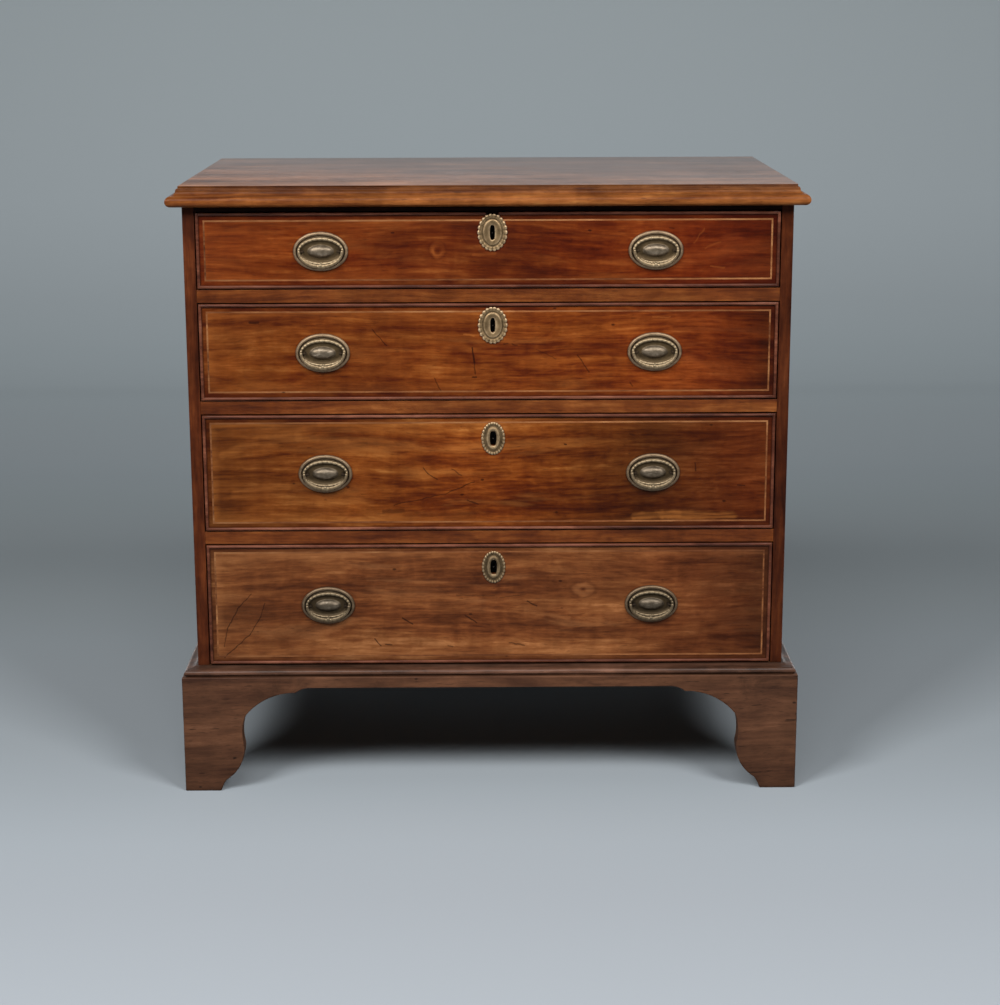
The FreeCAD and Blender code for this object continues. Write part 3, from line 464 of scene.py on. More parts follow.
# Near-black tones for the top rail under the top's overhang: painted shadow.
TOP_RAIL_SHADOW_TONES = palette((14, 4, 2), (24, 8, 4), (34, 12, 6), (44, 18, 9), (58, 26, 14))
STILE_TONES = palette((46, 15, 4), (66, 27, 9), (84, 38, 16), (101, 50, 23), (122, 66, 34))
BASE_TONES = palette((38, 22, 13), (59, 35, 23), (76, 48, 32), (91, 59, 40), (113, 77, 56))
MOULDING_TONES = palette((38, 23, 15), (60, 38, 26), (80, 52, 37), (98, 65, 48), (122, 84, 64))
BEAD_TONES = palette((48, 20, 10), (70, 34, 20), (90, 48, 31), (110, 63, 44), (134, 84, 62))
STRING_TONES = palette((88, 46, 23), (120, 70, 39), (145, 91, 53), (164, 108, 66), (182, 128, 82))
OAK_TONES = palette((84, 54, 32), (112, 78, 50), (134, 98, 66), (152, 116, 82), (170, 136, 100))
PINE_TONES = palette((74, 46, 26), (104, 70, 42), (126, 88, 56), (142, 102, 66), (160, 120, 82))

# How the four drawers' faces have aged, from the top one down.
FRONT_TONES = [
    palette((54, 12, 2), (78, 24, 4), (96, 36, 7), (114, 50, 14), (142, 76, 31)),
    palette((58, 15, 2), (84, 31, 6), (106, 48, 12), (126, 64, 21), (150, 87, 38)),
    palette((56, 16, 2), (78, 31, 5), (101, 48, 12), (120, 64, 22), (148, 90, 41)),
    palette((60, 28, 12), (82, 42, 19), (103, 57, 28), (120, 72, 38), (148, 96, 57)),
]
# Levels across each drawer's face at the places across the chest listed earlier: painted light falling off
# across the chest, together with the wood's own broad changes of tone.
LIGHT_AND_TONE_LEVELS = [(0.99, 0.62, 1.04, 0.41), (0.65, 0.94, 1.18, 0.26), (0.52, 1.45, 0.38, 0.58),
         (0.84, 1.21, 1.01, 0.30)]
BAND_DARKNESS = (0.15, 0.15, 0.25, 0.45)
SIDE_GLOWS = (0.32, 0.14, 0.14, 0.14)
RED_TINTS = [(0.99, 0.72, 0.78)] * 3 + [(0.99, 0.82, 0.78)]

# Scars on each drawer's face: kind, then from x, z to x, z in millimetres from the middle of the
# line through its handles, width and strength.
SCARS = {
    1: [("dark", -131, 24, -127, 24, 3.0, 0.7), ("pale", -20, -5, 8, -4, 7.0, 0.35),
        ("pale", 276, 10, 290, 28, 3.0, 0.22), ("pale", 292, 2, 312, 10, 3.4, 0.2),
        ("pale", 300, -22, 318, -24, 4.0, 0.3), ("dark", 244, 30, 250, 29, 2.8, 0.5)],
    2: [("dark", -324, 42, -313, 41, 6.0, 0.75), ("dark", -158, 31, -139, 10, 2.2, 0.7),
        ("dark", -22, 6, -20, -14, 3.2, 0.85), ("dark", -20, -14, -18, -30, 2.8, 0.6),
        ("dark", -22, -34, -17, -34, 3.6, 0.7), ("pale", -33, 25, -20, 23, 4.0, 0.5),
        ("dark", 21, 12, 26, 12, 3.0, 0.6), ("dark", 32, 11, 38, 9, 3.4, 0.6),
        ("dark", 65, 3, 92, -10, 1.8, 0.5), ("dark", 120, -5, 137, -27, 2.2, 0.7),
        ("dark", -74, -36, -65, -54, 2.1, 0.6), ("dark", 196, -48, 192, -42, 2.8, 0.6),
        ("dark", 214, 22, 228, 14, 2.2, 0.5), ("pale", 222, 47, 246, 47, 2.4, 0.35)],
    3: [("dark", -90, 8, -84, 0, 2.2, 0.7), ("dark", -84, 0, -72, -9, 2.5, 0.7),
        ("dark", -52, 6, -38, -4, 2.2, 0.6), ("dark", -132, -45, -60, -29, 2.1, 0.6),
        ("dark", -60, -29, -20, -12, 2.2, 0.7), ("dark", -146, -54, -120, -53, 9.0, 0.5),
        ("dark", -30, -38, -16, -44, 3.0, 0.7), ("dark", 104, 40, 106, 40, 3.0, 0.8),
        ("dark", 284, 12, 284, 2, 3.0, 0.7), ("dark", 194, 53, 200, 52, 4.0, 0.5),
        ("dark", 343, -19, 352, -20, 3.0, 0.7), ("pale", -366, 26, -320, 46, 16.0, 0.26),
        ("pale", -320, 46, -262, 52, 18.0, 0.30), ("pale", -262, 52, -196, 44, 16.0, 0.26),
        ("pale", -196, 44, -140, 26, 14.0, 0.22), ("pale", -350, -28, -280, -20, 18.0, 0.28),
        ("pale", 200, -63, 262, -59, 13.0, 0.5), ("pale", 240, -60, 336, -63, 18.0, 0.5)],
    4: [("dark", -332, 17, -352, -4, 1.8, 0.75), ("dark", -352, -4, -368, -34, 2.1, 0.75),
        ("dark", -368, -34, -372, -60, 1.8, 0.6), ("dark", -314, 3, -320, -16, 2.0, 0.7),
        ("dark", -320, -16, -336, -42, 2.0, 0.7), ("dark", -336, -42, -372, -76, 2.1, 0.75),
        ("dark", -123, -19, -109, -29, 3.2, 0.85), ("dark", -34, -17, -18, -26, 2.8, 0.8),
        ("dark", -162, -49, -153, -60, 2.4, 0.75), ("dark", -146, -57, -138, -58, 3.0, 0.7),
        ("dark", 53, 5, 65, -3, 2.6, 0.8), ("dark", -130, 58, -125, 57, 7.0, 0.6),
        ("dark", -46, 14, 6, 12, 2.5, 0.45), ("dark", 14, 10, 50, 15, 2.5, 0.4),
        ("dark", 27, -56, 48, -60, 3.0, 0.6), ("dark", -58, -60, -52, -61, 3.0, 0.6),
        ("dark", 352, 20, 368, 19, 26.0, 0.38), ("dark", 360, -5, 372, -6, 18.0, 0.32),
        ("pale", -170, 38, -60, 34, 9.0, 0.3), ("pale", 50, -10, 110, -20, 9.0, 0.35),
        ("pale", -230, -52, -170, -62, 12.0, 0.3)],
}
BROAD_SCAR = 6  # millimetres; a wider scar is a patch that follows the streaks
SCAR_TREMBLE = 5 * MM
# Knots: x and z of the middle, half width, half height, share that is dark, and how one-sided
# the pale halo is.
KNOTS = {1: [(-68, 1, 10, 10, 0.35, 0.9)], 2: [], 3: [], 4: [(130, 21, 15, 10, 0.12, 0.2)]}

# ---------------------------------------- mesh helpers


def new_object(name, verts, faces, material):
    """A smooth object, with doubles merged and every face pointing outwards."""
    mesh = bpy.data.meshes.new(name)
    mesh.from_pydata([tuple(v) for v in verts], [], faces)
    mesh.validate()
    made = bpy.data.objects.new(name, mesh)
    bpy.context.scene.collection.objects.link(made)
    mesh.materials.append(material)
    shape = bmesh.new()
    shape.from_mesh(mesh)
    bmesh.ops.remove_doubles(shape, verts=shape.verts, dist=1e-6)
    bmesh.ops.recalc_face_normals(shape, faces=shape.faces)
    shape.to_mesh(mesh)
    shape.free()
    for polygon in mesh.polygons:
        polygon.use_smooth = True
    return made


def angles(steps):
    """Angles of equal steps round a circle."""
    return [2 * math.pi * step / steps for step in range(steps)]


class Parts:
    """Several closed forms gathered into one mesh."""

    def __init__(self):
        self.verts = []
        self.faces = []

    def rings(self, rings, closed_start=True, closed_end=True):
        """Skin a list of rings, each a list of points of the same length."""
        start = len(self.verts)
        count = len(rings[0])
        last = (len(rings) - 1) * count
        faces = []
        for row in range(len(rings) - 1):
            for here in range(count):
                after = (here + 1) % count
                faces.append((row * count + here, row * count + after,
                              (row + 1) * count + after, (row + 1) * count + here))
        if closed_start:
            faces.append(tuple(reversed(range(count))))
        if closed_end:
            faces.append(tuple(range(last, last + count)))
        self.verts += [point for ring in rings for point in ring]
        self.faces += [tuple(start + index for index in face) for face in faces]

    def turned(self, centre, axis, profile, steps):
        """A turned form: profile is (distance along axis, radius) in millimetres."""
        along = Vector(axis).normalized()
        side = along.orthogonal().normalized()
        other = along.cross(side)
        rings = []
        for distance, radius in profile:
            middle = centre + along * (distance * MM)
            rings.append([middle + (side * math.cos(angle) + other * math.sin(angle)) * (radius * MM)
                          for angle in angles(steps)])
        self.rings(rings)

    def ball(self, centre, radii):
        steps, rows = 12, 8
        rings = []
        for row in range(1, rows):
            lift = math.pi * row / rows
            x, y, z = radii[0] * math.sin(lift), -radii[1] * math.cos(lift), radii[2] * math.sin(lift)
            rings.append([centre + Vector((x * math.cos(angle), y, z * math.sin(angle)))
                          for angle in angles(steps)])
        self.rings(rings)

    def make(self, name, material):
        return new_object(name, self.verts, self.faces, material)


def dress(piece, body, slot, *replaced):
    """Attach a finished piece to its body."""
    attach(piece, body)
    if replaced:
        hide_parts(*replaced)
    return piece


def ease(node, width, material, body, slot, angle=32):
    """A copy of a CAD piece with its arrises worn round, shown in its place."""
    mesh = nodes[node].data.copy()
    mesh.name = node + "_worn"
    shape = bmesh.new()
    shape.from_mesh(mesh)
    bmesh.ops.remove_doubles(shape, verts=shape.verts, dist=2e-6)
    bmesh.ops.dissolve_limit(shape, angle_limit=math.radians(0.6), verts=shape.verts, edges=shape.edges)
    shape.to_mesh(mesh)
    shape.free()
    mesh.materials.clear()
    mesh.materials.append(material)
    for polygon in mesh.polygons:
        polygon.use_smooth = True
    mesh.set_sharp_from_angle(angle=math.radians(angle))
    piece = bpy.data.objects.new(node + "_worn", mesh)
    bpy.context.scene.collection.objects.link(piece)
    bevel = piece.modifiers.new("arris", "BEVEL")
    bevel.width = width
    bevel.segments = 2
    bevel.limit_method = "ANGLE"
    bevel.angle_limit = math.radians(angle)
    bevel.harden_normals = True
    return dress(piece, body, slot, node)


def paint(node, material):
    """Give a CAD piece its finish."""
    nodes[node].data.materials.clear()
    nodes[node].data.materials.append(material)


def along_path(corners, spacing):
    """Rings between rings, so that none lie much more than spacing apart. The last one is left out."""
    rings = []
    for first, second in zip(corners, corners[1:]):
        pieces = max(1, round((second[0] - first[0]).length / spacing))
        for step in range(pieces):
            rings.append([start.lerp(end, step / pieces) for start, end in zip(first, second)])
    return rings


# ---------------------------------------- brasses

# A back plate from its rim inwards: half width, half height, height, how beaded and how rough it is.
PLATE_RINGS = [
    (37.0, 26.5, 0.0, 0, 0), (37.0, 26.5, 0.7, 0, 0), (36.8, 26.3, 1.7, 0, 0), (36.1, 25.5, 2.6, 0, 0),
    (35.2, 24.5, 3.1, 0, 0), (34.2, 23.4, 3.2, 0, 0), (33.3, 22.4, 2.8, 0, 0), (32.7, 21.5, 1.9, 0, 0),
    (32.3, 20.6, 0.9, 0, 0), (32.0, 19.9, 0.8, 0.1, 0), (31.7, 19.4, 1.8, 0.4, 0),
    (30.9, 18.5, 3.3, 0.8, 0), (29.8, 17.3, 4.0, 0.9, 0), (28.6, 15.9, 3.8, 0.8, 0),
    (27.7, 14.8, 2.7, 0.5, 0), (27.1, 14.0, 1.2, 0.1, 0), (25.2, 12.9, 0.7, 0, 0.1),
    (22.6, 11.4, 0.5, 0, 0.2), (19.6, 9.8, 0.5, 0, 0.2), (17.8, 8.8, 0.8, 0, 0.3), (16.6, 8.0, 1.6, 0, 0.3),
    (15.0, 7.2, 3.0, 0, 0.5), (12.4, 6.0, 4.3, 0, 0.6), (9.2, 4.5, 5.3, 0, 0.6), (5.8, 2.8, 5.9, 0, 0.5),
    (2.4, 1.2, 6.1, 0, 0.4),
]
PLATE_BEADS = 26
# Material, half width and half height of a plate's boss, of its field and of its wreath.
PLATE_ZONES = [(3, 17.2, 8.4), (2, 27.3, 14.1), (1, 32.1, 20.0)]
# Balls that make up the knop of a bail: x and z from its bottom, and size.
KNOP = [(0, 1.6, 2.7), (-3.4, 0.3, 2.1), (3.4, 0.3, 2.1), (0.6, 4.6, 1.5), (-5.8, 0.6, 1.5), (5.8, 0.6, 1.5)]
BAR_RADIUS, BAR_BEADING, BAR_WEAR = 2.05, 0.22, 0.12
# Escutcheons: lobes, their mean, the keyhole's half width and half height, and from the edge inwards
# each ring's half width, half height and height, and how scalloped and how beaded it is.
LARGE_ESCUTCHEON = (22, 0.75, 3.4, 10.0, [
    (20.1, 25.1, 0.0, 1.7, 0), (20.1, 25.1, 0.7, 1.7, 0), (19.6, 24.6, 1.5, 1.5, 0.3),
    (18.6, 23.6, 2.0, 0.9, 0.7), (17.4, 22.4, 1.7, 0.3, 0.7), (16.4, 21.3, 1.6, 0, 0.5),
    (15.3, 20.2, 1.5, 0, 0.2), (14.4, 19.2, 1.0, 0, 0), (13.6, 18.3, 0.7, 0, 0), (12.9, 17.5, 1.1, 0, 0),
    (12.2, 16.7, 1.7, 0, 0), (11.3, 15.8, 1.9, 0, 0), (9.8, 14.2, 1.7, 0, 0), (7.6, 12.6, 1.4, 0, 0),
])
SMALL_ESCUTCHEON = (26, 0.7, 4.7, 10.25, [
    (16.3, 23.0, 0.0, 0.8, 0), (16.3, 23.0, 0.6, 0.8, 0), (15.8, 22.5, 1.3, 0.7, 0.3),
    (14.9, 21.5, 1.8, 0.3, 0.7), (13.7, 20.3, 1.6, 0, 0.5), (12.6, 19.2, 1.0, 0, 0.2),
    (11.8, 18.4, 0.8, 0, 0), (10.8, 17.4, 0.8, 0, 0.1), (10.0, 16.4, 1.0, 0, 0), (9.2, 15.2, 1.7, 0, 0),
    (8.1, 13.9, 2.2, 0, 0), (6.9, 12.6, 2.0, 0, 0),
])


def oval_ring(centre, half_x, half_z, height, steps, swell=None, lift=None):
    """Points round an oval on a drawer face. swell and lift change size and height with the angle."""
    ring = []
    for angle in angles(steps):
        more = swell(angle) if swell else 0
        up = height + (lift(angle) if lift else 0)
        ring.append(Vector((centre[0] + (half_x + more) * MM * math.cos(angle), FACE_Y - up * MM,
                            centre[1] + (half_z + more) * MM * math.sin(angle))))
    return ring


def handle_plate(parts, centre, seed):
    """Oval back plate: rolled rim, groove, beaded wreath, dished field and a hammered boss."""
    steps = 168
    rings = []
    for half_x, half_z, height, beaded, rough in PLATE_RINGS:
        ring = oval_ring(centre, half_x, half_z, height, steps)
        for point, angle in zip(ring, angles(steps)):
            if beaded:
                wave = abs(math.sin(angle * PLATE_BEADS / 2 + 0.25 * math.sin(3 * angle + seed)))
                notch = 0.25 * noise.noise(Vector((angle * 5, seed, 0)))
                point.y -= beaded * (0.95 * wave - 0.62 + notch) * MM
            if rough:
                crinkle = noise.noise(Vector((point.x, point.z, seed * MM)) * 260)
                point.y -= rough * (0.75 * crinkle) * MM
            if height > 0.7:
                point.y -= 0.12 * noise.noise(Vector((point.x, point.z, seed * 0.1)) * 90) * MM
        rings.append(ring)
    parts.rings(rings)


def colour_plates(piece, z):
    """Give the rim, the wreath, the field and the boss of each plate their own wear."""
    for material in (BRASS_WORN, BRASS_DULL, PEWTER):
        piece.data.materials.append(material)
    for polygon in piece.data.polygons:
        x = (abs(polygon.center.x) - HANDLE_X) / MM
        across = (polygon.center.z - z) / MM
        for slot, half_x, half_z in PLATE_ZONES:
            if math.hypot(x / half_x, across / half_z) < 1:
                polygon.material_index = slot
                break


def post(parts, x, z):
    """Post that a bail hangs on, with its shank and its nut inside the drawer."""
    centre = Vector((x, FACE_Y, z))
    head = [(0.4, 1.8), (4.2, 1.7), (4.8, 1.9), (7.5, 1.9), (8.1, 1.4), (8.3, 0.6)]
    nut = [(22.0, 5.4), (22.4, 5.8), (24.6, 5.8), (25.2, 5.0), (25.2, 1.7)]
    parts.turned(centre, (0, -1, 0), head, 16)
    parts.turned(centre, (0, 1, 0), [(0.0, 1.7), (26.4, 1.7), (27.0, 1.2)], 12)
    parts.turned(centre, (0, 1, 0), nut, 18)


def bail(name, x, z, seed):
    """Hanging handle: a leafy bar along a half oval with rounded ends, a small knop and two pins."""
    parts = Parts()
    steps, around, rounding = 120, 16, 3
    back = Vector((0, 1, 0))
    rings = []
    for step in range(-rounding, steps + rounding + 1):
        angle = math.pi * min(max(step / steps, 0), 1)
        extra = max(-step, step - steps, 0)
        middle = Vector((x + BAIL_SPAN * MM * math.cos(angle), PIVOT_Y,
                         z - BAIL_DROP * MM * math.sin(angle) + extra * 0.55 * MM))
        tangent = Vector((-BAIL_SPAN * math.sin(angle), 0, -BAIL_DROP * math.cos(angle))).normalized()
        if extra:
            tangent = Vector((0, 0, -1 if step < 0 else 1))
        out = tangent.cross(back)
        bead = abs(math.sin(angle * 15 + seed))
        share = math.sin(angle) ** 0.5 if 0 < angle < math.pi else 0
        wear = BAR_WEAR * noise.noise(Vector((angle * 3, seed, 0)))
        radius = (BAR_RADIUS + BAR_BEADING * share * (bead - 0.5) + wear) * MM
        if extra:
            radius *= math.cos(min(extra * 0.42, 1.4))
        broad = 1 + 0.42 * share ** 3
        rings.append([middle + (out * broad * math.cos(spin) + back * math.sin(spin)) * radius
                      for spin in angles(around)])
    parts.rings(rings)
    bottom = Vector((x, PIVOT_Y, z - BAIL_DROP * MM))
    for dx, dz, size in KNOP:
        radii = (size * MM, min(size, 2.3) * MM, size * 0.85 * MM)
        parts.ball(bottom + Vector((dx * MM, -0.3 * MM, dz * MM)), radii)
    for side in (-1, 1):
        end = Vector((x + side * BAIL_SPAN * MM, PIVOT_Y, z))
        parts.turned(end, (-side, 0, 0), [(0.0, 0.95), (6.8, 0.95)], 12)
    piece = parts.make(name, BRASS_WORN)
    # The bail's upper parts take the darker brass, as painted shade.
    piece.data.materials.append(BRASS_SHADOWED)
    for polygon in piece.data.polygons:
        if abs(polygon.center.x - x) < 26.5 * MM and polygon.center.z > z - 2 * MM:
            polygon.material_index = 1
    return piece


def slot_ring(centre, half_x, half_z, height, steps):
    """A ring in the shape of a keyhole slot."""
    ring = []
    for angle in angles(steps):
        cos, sin = math.cos(angle), math.sin(angle)
        x = half_x * math.copysign(abs(cos) ** 0.55, cos)
        ring.append(Vector((centre[0] + x * MM, FACE_Y - height * MM, centre[1] + half_z * sin * MM)))
    return ring


def escutcheon(name, number, z, seed):
    """Oval key plate with a lobed edge, open in the middle."""
    lobes, mean, hole_x, hole_z, profile = LARGE_ESCUTCHEON if number <= 2 else SMALL_ESCUTCHEON
    centre = (KEY_X, z)
    steps = 176

    def lobed(share):
        def wave(angle):
            uneven = 0.2 * noise.noise(Vector((angle * 4, seed, 1)))
            return share * (abs(math.cos(angle * lobes / 2)) - mean + uneven)
        return wave

    rings = []
    for half_x, half_z, height, scallop, bead in profile:
        rings.append(oval_ring(centre, half_x, half_z, height, steps, lobed(scallop), lobed(bead)))
    for wider, height in ((0.5, 1.2), (0, 0.8), (0, 0.0)):
        rings.append(slot_ring(centre, hole_x + wider, hole_z + wider, height, steps))
    rings.append(rings[0])
    parts = Parts()
    parts.rings(rings, False, False)
    return parts.make(name, BRASS_PALE)


def key_pin(name, z):
    """The pin in a lock that its key turns on."""
    pin = Parts()
    root = Vector((KEY_X, FACE_Y + 11.5 * MM, z - 1.0 * MM))
    pin.turned(root, (0, -1, 0), [(0.0, 1.2), (8.0, 1.2), (8.8, 0.6)], 12)
    return pin.make(name, IRON)


# ---------------------------------------- beads and base moulding


def bead_loop(name, number):
    """Round-nosed cockbeads, mitred at the corners, let in round the drawer front."""
    low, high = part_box(f"drawer_{number}_front")
    section = [(0.0, 5.9), (0.0, -0.8), (0.2, -1.6), (0.8, -2.2), (1.7, -2.5), (2.5, -2.5), (3.4, -2.2),
               (4.0, -1.6), (4.2, -0.8), (4.2, 5.9)]

    def corner(hand, end):
        return [Vector((hand * (high.x - inset * MM), FACE_Y + back * MM,
                        high.z - inset * MM if end > 0 else low.z + inset * MM)) for inset, back in section]

    def cut_end(hand):
        return [Vector((KEY_X + hand * BEAD_GAP, FACE_Y + back * MM, high.z - inset * MM))
                for inset, back in section]

    open_loop = number == 1
    rings = [corner(1, 1), corner(1, -1), corner(-1, -1), corner(-1, 1)]
    rings = [cut_end(1), *rings, cut_end(-1)] if open_loop else [*rings, rings[0]]
    fine = along_path(rings, 14 * MM) + [rings[-1]]
    for ring in fine[1:-1]:
        dent = noise.noise(ring[4] * 21 + Vector((number * 3, 0, 0)))
        for index in range(3, 7):
            ring[index].y += max(0, dent - 0.15) * 0.9 * MM
    parts = Parts()
    parts.rings(fine, open_loop, open_loop)
    piece = parts.make(name, BEAD)
    piece.data.set_sharp_from_angle(angle=math.radians(50))
    return piece


def base_moulding():
    """The worn moulding over the plinth, round three sides: quirk, astragal, cove and ledge."""
    front_low, front_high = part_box("base_moulding_front")
    side_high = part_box("base_moulding_sides")[1]
    bead_out, bead_up, bead = 13.7, 5.2, 4.2
    section = [(0.0, 0.0), (bead_out + 1.6, 0.0), (bead_out + 1.6, 0.7)]
    for degrees in (-55, -30, -5, 20, 45, 70, 92):
        angle = math.radians(degrees)
        section.append((bead_out + bead * math.cos(angle), bead_up + bead * math.sin(angle)))
    section += [(11.6, 9.6), (9.0, 10.0), (6.0, 10.9), (3.6, 12.3), (3.0, 12.5), (0.0, 12.5)]
    half_case = front_high.x - (bead_out + bead) * MM
    path = [(-1, side_high.y, 0), (-1, front_high.y, 1), (1, front_high.y, 1), (1, side_high.y, 0)]
    corners = []
    for hand, y, mitred in path:
        corners.append([Vector((hand * (half_case + out * MM), y - mitred * out * MM, front_low.z + up * MM))
                        for out, up in section])
    rings = along_path(corners, 16 * MM) + [corners[-1]]
    for ring in rings[1:-1]:
        dent = max(0, noise.noise(ring[5] * 17) - 0.1)
        for index in range(4, 10):
            ring[index].z -= 0.9 * dent * MM
    parts = Parts()
    parts.rings(rings)
    piece = parts.make("base_moulding_worn", MOULDING)
    piece.data.set_sharp_from_angle(angle=math.radians(40))
    return piece


# ---------------------------------------- finishes

# The top's face is painted lighter towards the front and darker towards the back (depth): painted light and
# sheen.
TOP = wood("top_wood", 1.0, TOP_TONES, figure=0.45, pores=0.35, marks=0.15, rough=(0.30, 0.42), shine=1.0,
           coat=0.6, crevice_shade=0.0, depth=(1.6, 0.95))
# On the moulded edge the level rises towards the nose and falls towards the arris (rise): painted highlight
# on the nose, painted shade on the cove and fillet.
EDGE = wood("edge_wood", 1.5, EDGE_TONES, figure=0.4, pores=0.7, marks=0.5, shine=0.10, crevice_shade=0.75,
            rise=(cad_high.z - 24 * MM, 1.22, cad_high.z, 0.38))
CASE = wood("rail_wood", 2.0, CASE_TONES, figure=0.5, marks=0.3)
TOP_RAIL_SHADOW = wood("top_rail_painted_shadow", 2.5, TOP_RAIL_SHADOW_TONES, figure=0.4, marks=0.2, shine=0.05)
STILE = wood("side_wood", 3.0, STILE_TONES, grain="z", figure=0.5, marks=0.3, shine=0.1,
             light_and_tone=(0.80, 1.0, 1.0, 0.62))
BASE = wood("plinth_wood", 4.0, BASE_TONES, figure=0.3, marks=1.2, pores=0.8, rough=(0.36, 0.6),
            contrast=0.8, blotches=0.55, rise=(0.0, 0.85, 0.12, 1.05), light_and_tone=(1.0, 1.3, 1.15, 1.0),
            fineness=0.6)
MOULDING = wood("base_moulding_wood", 4.5, MOULDING_TONES, figure=0.3, marks=0.5, rough=(0.34, 0.5),
                shine=0.3, crevice_shade=0.75, reach=12 * MM, contrast=0.9,
                rise=(LEDGE_Z - 7 * MM, 1.05, LEDGE_Z, 0.42))
BEAD = wood("bead_wood", 5.0, BEAD_TONES, figure=0.3, marks=0.1, rough=(0.34, 0.5), shine=0.2, crevice_shade=0.7)
STRING = wood("string_wood", 6.0, STRING_TONES, figure=0.8, marks=0.2, pores=0.2, crevice_shade=0.0,
              light_and_tone=(0.60, 0.84, 0.84, 0.62))
OAK = wood("lining_oak", 7.0, OAK_TONES, grain="y", figure=0.4, marks=0.2, rough=(0.6, 0.8), pores=1.0)
OAK_WIDE = wood("bottom_oak", 8.0, OAK_TONES, figure=0.4, marks=0.3, rough=(0.6, 0.8), pores=1.0)
PINE = wood("rough_pine", 9.0, PINE_TONES, figure=0.5, marks=0.4, rough=(0.65, 0.85), pores=0.6)
PINE_UP = wood("back_pine", 10.0, PINE_TONES, grain="z", figure=0.5, marks=0.4, rough=(0.65, 0.85),
               pores=0.6, boards=(BACK_LOW.x, BACK_BOARD_WIDTH))
BRASS = metal("aged_brass", 1.0, srgb(158, 134, 106), srgb(112, 90, 66), srgb(66, 50, 32))
BRASS_WORN = metal("aged_brass_worn", 1.5, srgb(162, 142, 112), srgb(126, 106, 79), srgb(74, 58, 36),
                   darkening=0.8)
BRASS_DULL = metal("aged_brass_field", 1.7, srgb(112, 92, 62), srgb(92, 74, 48), srgb(62, 48, 28),
                   (0.5, 0.7), darkening=0.55)
# A dark copy of the brass for the posts and the bails' upper parts: painted shade, where they sit behind the
# bails and plates.
BRASS_SHADOWED = metal("aged_brass_post_shadowed", 1.9, srgb(60, 46, 30), srgb(46, 34, 22), srgb(30, 21, 12),
                   (0.65, 0.85))
BRASS_PALE = metal("aged_brass_pale", 2.0, srgb(188, 160, 124), srgb(132, 108, 76), srgb(70, 52, 28))
PEWTER = metal("worn_boss", 2.5, srgb(176, 160, 140), srgb(120, 106, 88), srgb(70, 58, 42), (0.42, 0.56),
               darkening=0.6)
# The long reach paints near-black shade deep in the keyholes and the locks behind them.
IRON = metal("old_iron", 3.0, srgb(80, 70, 62), srgb(44, 38, 33), srgb(22, 18, 15), (0.5, 0.75),
             hollow=12 * MM, darkening=1.0)

# ---------------------------------------- the chest


def dress_carcase():
    top = ease("top_board", 0.9 * MM, TOP, "carcase", "mahogany_top", 38)
    top.data.materials.append(EDGE)
    for polygon in top.data.polygons:
        polygon.material_index = 0 if polygon.normal.z > 0.99 else 1
    for name in ("plinth_front", "plinth_left", "plinth_right"):
        ease(name, 1.3 * MM, BASE, "carcase", "mahogany_case", 40)
    dress(base_moulding(), "carcase", "mahogany_case", "base_moulding_front", "base_moulding_sides")
    for name in ("case_side_left", "case_side_right"):
        ease(name, 0.7 * MM, STILE, "carcase", "mahogany_case")
    for name in ("drawer_divider_1", "drawer_divider_2", "drawer_divider_3"):
        ease(name, 0.6 * MM, CASE, "carcase", "mahogany_case")
    # The top rail takes near-black wood: painted shadow under the top's overhang.
    ease("top_rail_front", 0.4 * MM, TOP_RAIL_SHADOW, "carcase", "mahogany_case")
    for name in ("case_bottom", "top_rail_rear", "drawer_runners", "dustboards", "drawer_stops",
                 "rear_foot_brackets", "glue_blocks"):
        paint(name, PINE)
    paint("back_boards", PINE_UP)


def front_wood(number, low, high):
    """The wood of a drawer's face, between its front's low and high corners."""
    index = number - 1
    face = {"number": number, "half": high.x, "low": low.z, "high": high.z, "middle": handle_z(number),
            "darkness": BAND_DARKNESS[index], "glow": SIDE_GLOWS[index], "red": RED_TINTS[index]}
    return wood(f"front_wood_{number}", 20.0 + number * 1.7, FRONT_TONES[index], figure=0.6, pores=0.5,
                gold=0.8, marks=0.18 + 0.16 * number, rough=(0.3, 0.46), shine=0.10, light_and_tone=LIGHT_AND_TONE_LEVELS[index],
                face=face)


def dress_drawer(number):
    low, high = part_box(f"drawer_{number}_front")
    body = f"drawer_{number}"
    z = handle_z(number)
    key_z = high.z - KEY_DROPS[number - 1]
    for name, material in (("front", front_wood(number, low, high)), ("stringing", STRING), ("sides", OAK),
                           ("bottom", OAK_WIDE), ("lock", IRON), ("lock_bolt", IRON)):
        paint(f"{body}_{name}", material)
    dress(bead_loop(f"{body}_beads", number), body, "mahogany_bead", f"{body}_cockbeads")
    plates = Parts()
    posts = Parts()
    for side in (-1, 1):
        handle_plate(plates, (side * HANDLE_X, z), number * 7 + side)
        for end in (-1, 1):
            post(posts, side * HANDLE_X + end * 24 * MM, z)
    plate_piece = plates.make(f"{body}_back_plates", BRASS)
    colour_plates(plate_piece, z)
    dress(plate_piece, body, "aged_brass", f"{body}_brasses")
    dress(posts.make(f"{body}_posts", BRASS_SHADOWED), body, "aged_brass")
    dress(escutcheon(f"{body}_escutcheon", number, key_z, number * 5.0), body, "aged_brass")
    dress(key_pin(f"{body}_key_pin", key_z), body, "iron")
    for side, word in ((-1, "left"), (1, "right")):
        piece = bail(f"{body}_{word}_handle", side * HANDLE_X, z, number * 3.0 + side)
        dress(piece, f"{body}_bail_{word}", "aged_brass", f"{body}_bail_{word}")


make_camera()
dress_carcase()
for number in (1, 2, 3, 4):
    dress_drawer(number)

# ---------------------------------------- stage

STAGE_FLAT, STAGE_BEND, STAGE_REACH, STAGE_TOP = 2.9, 1.2, 60.0, 7.0
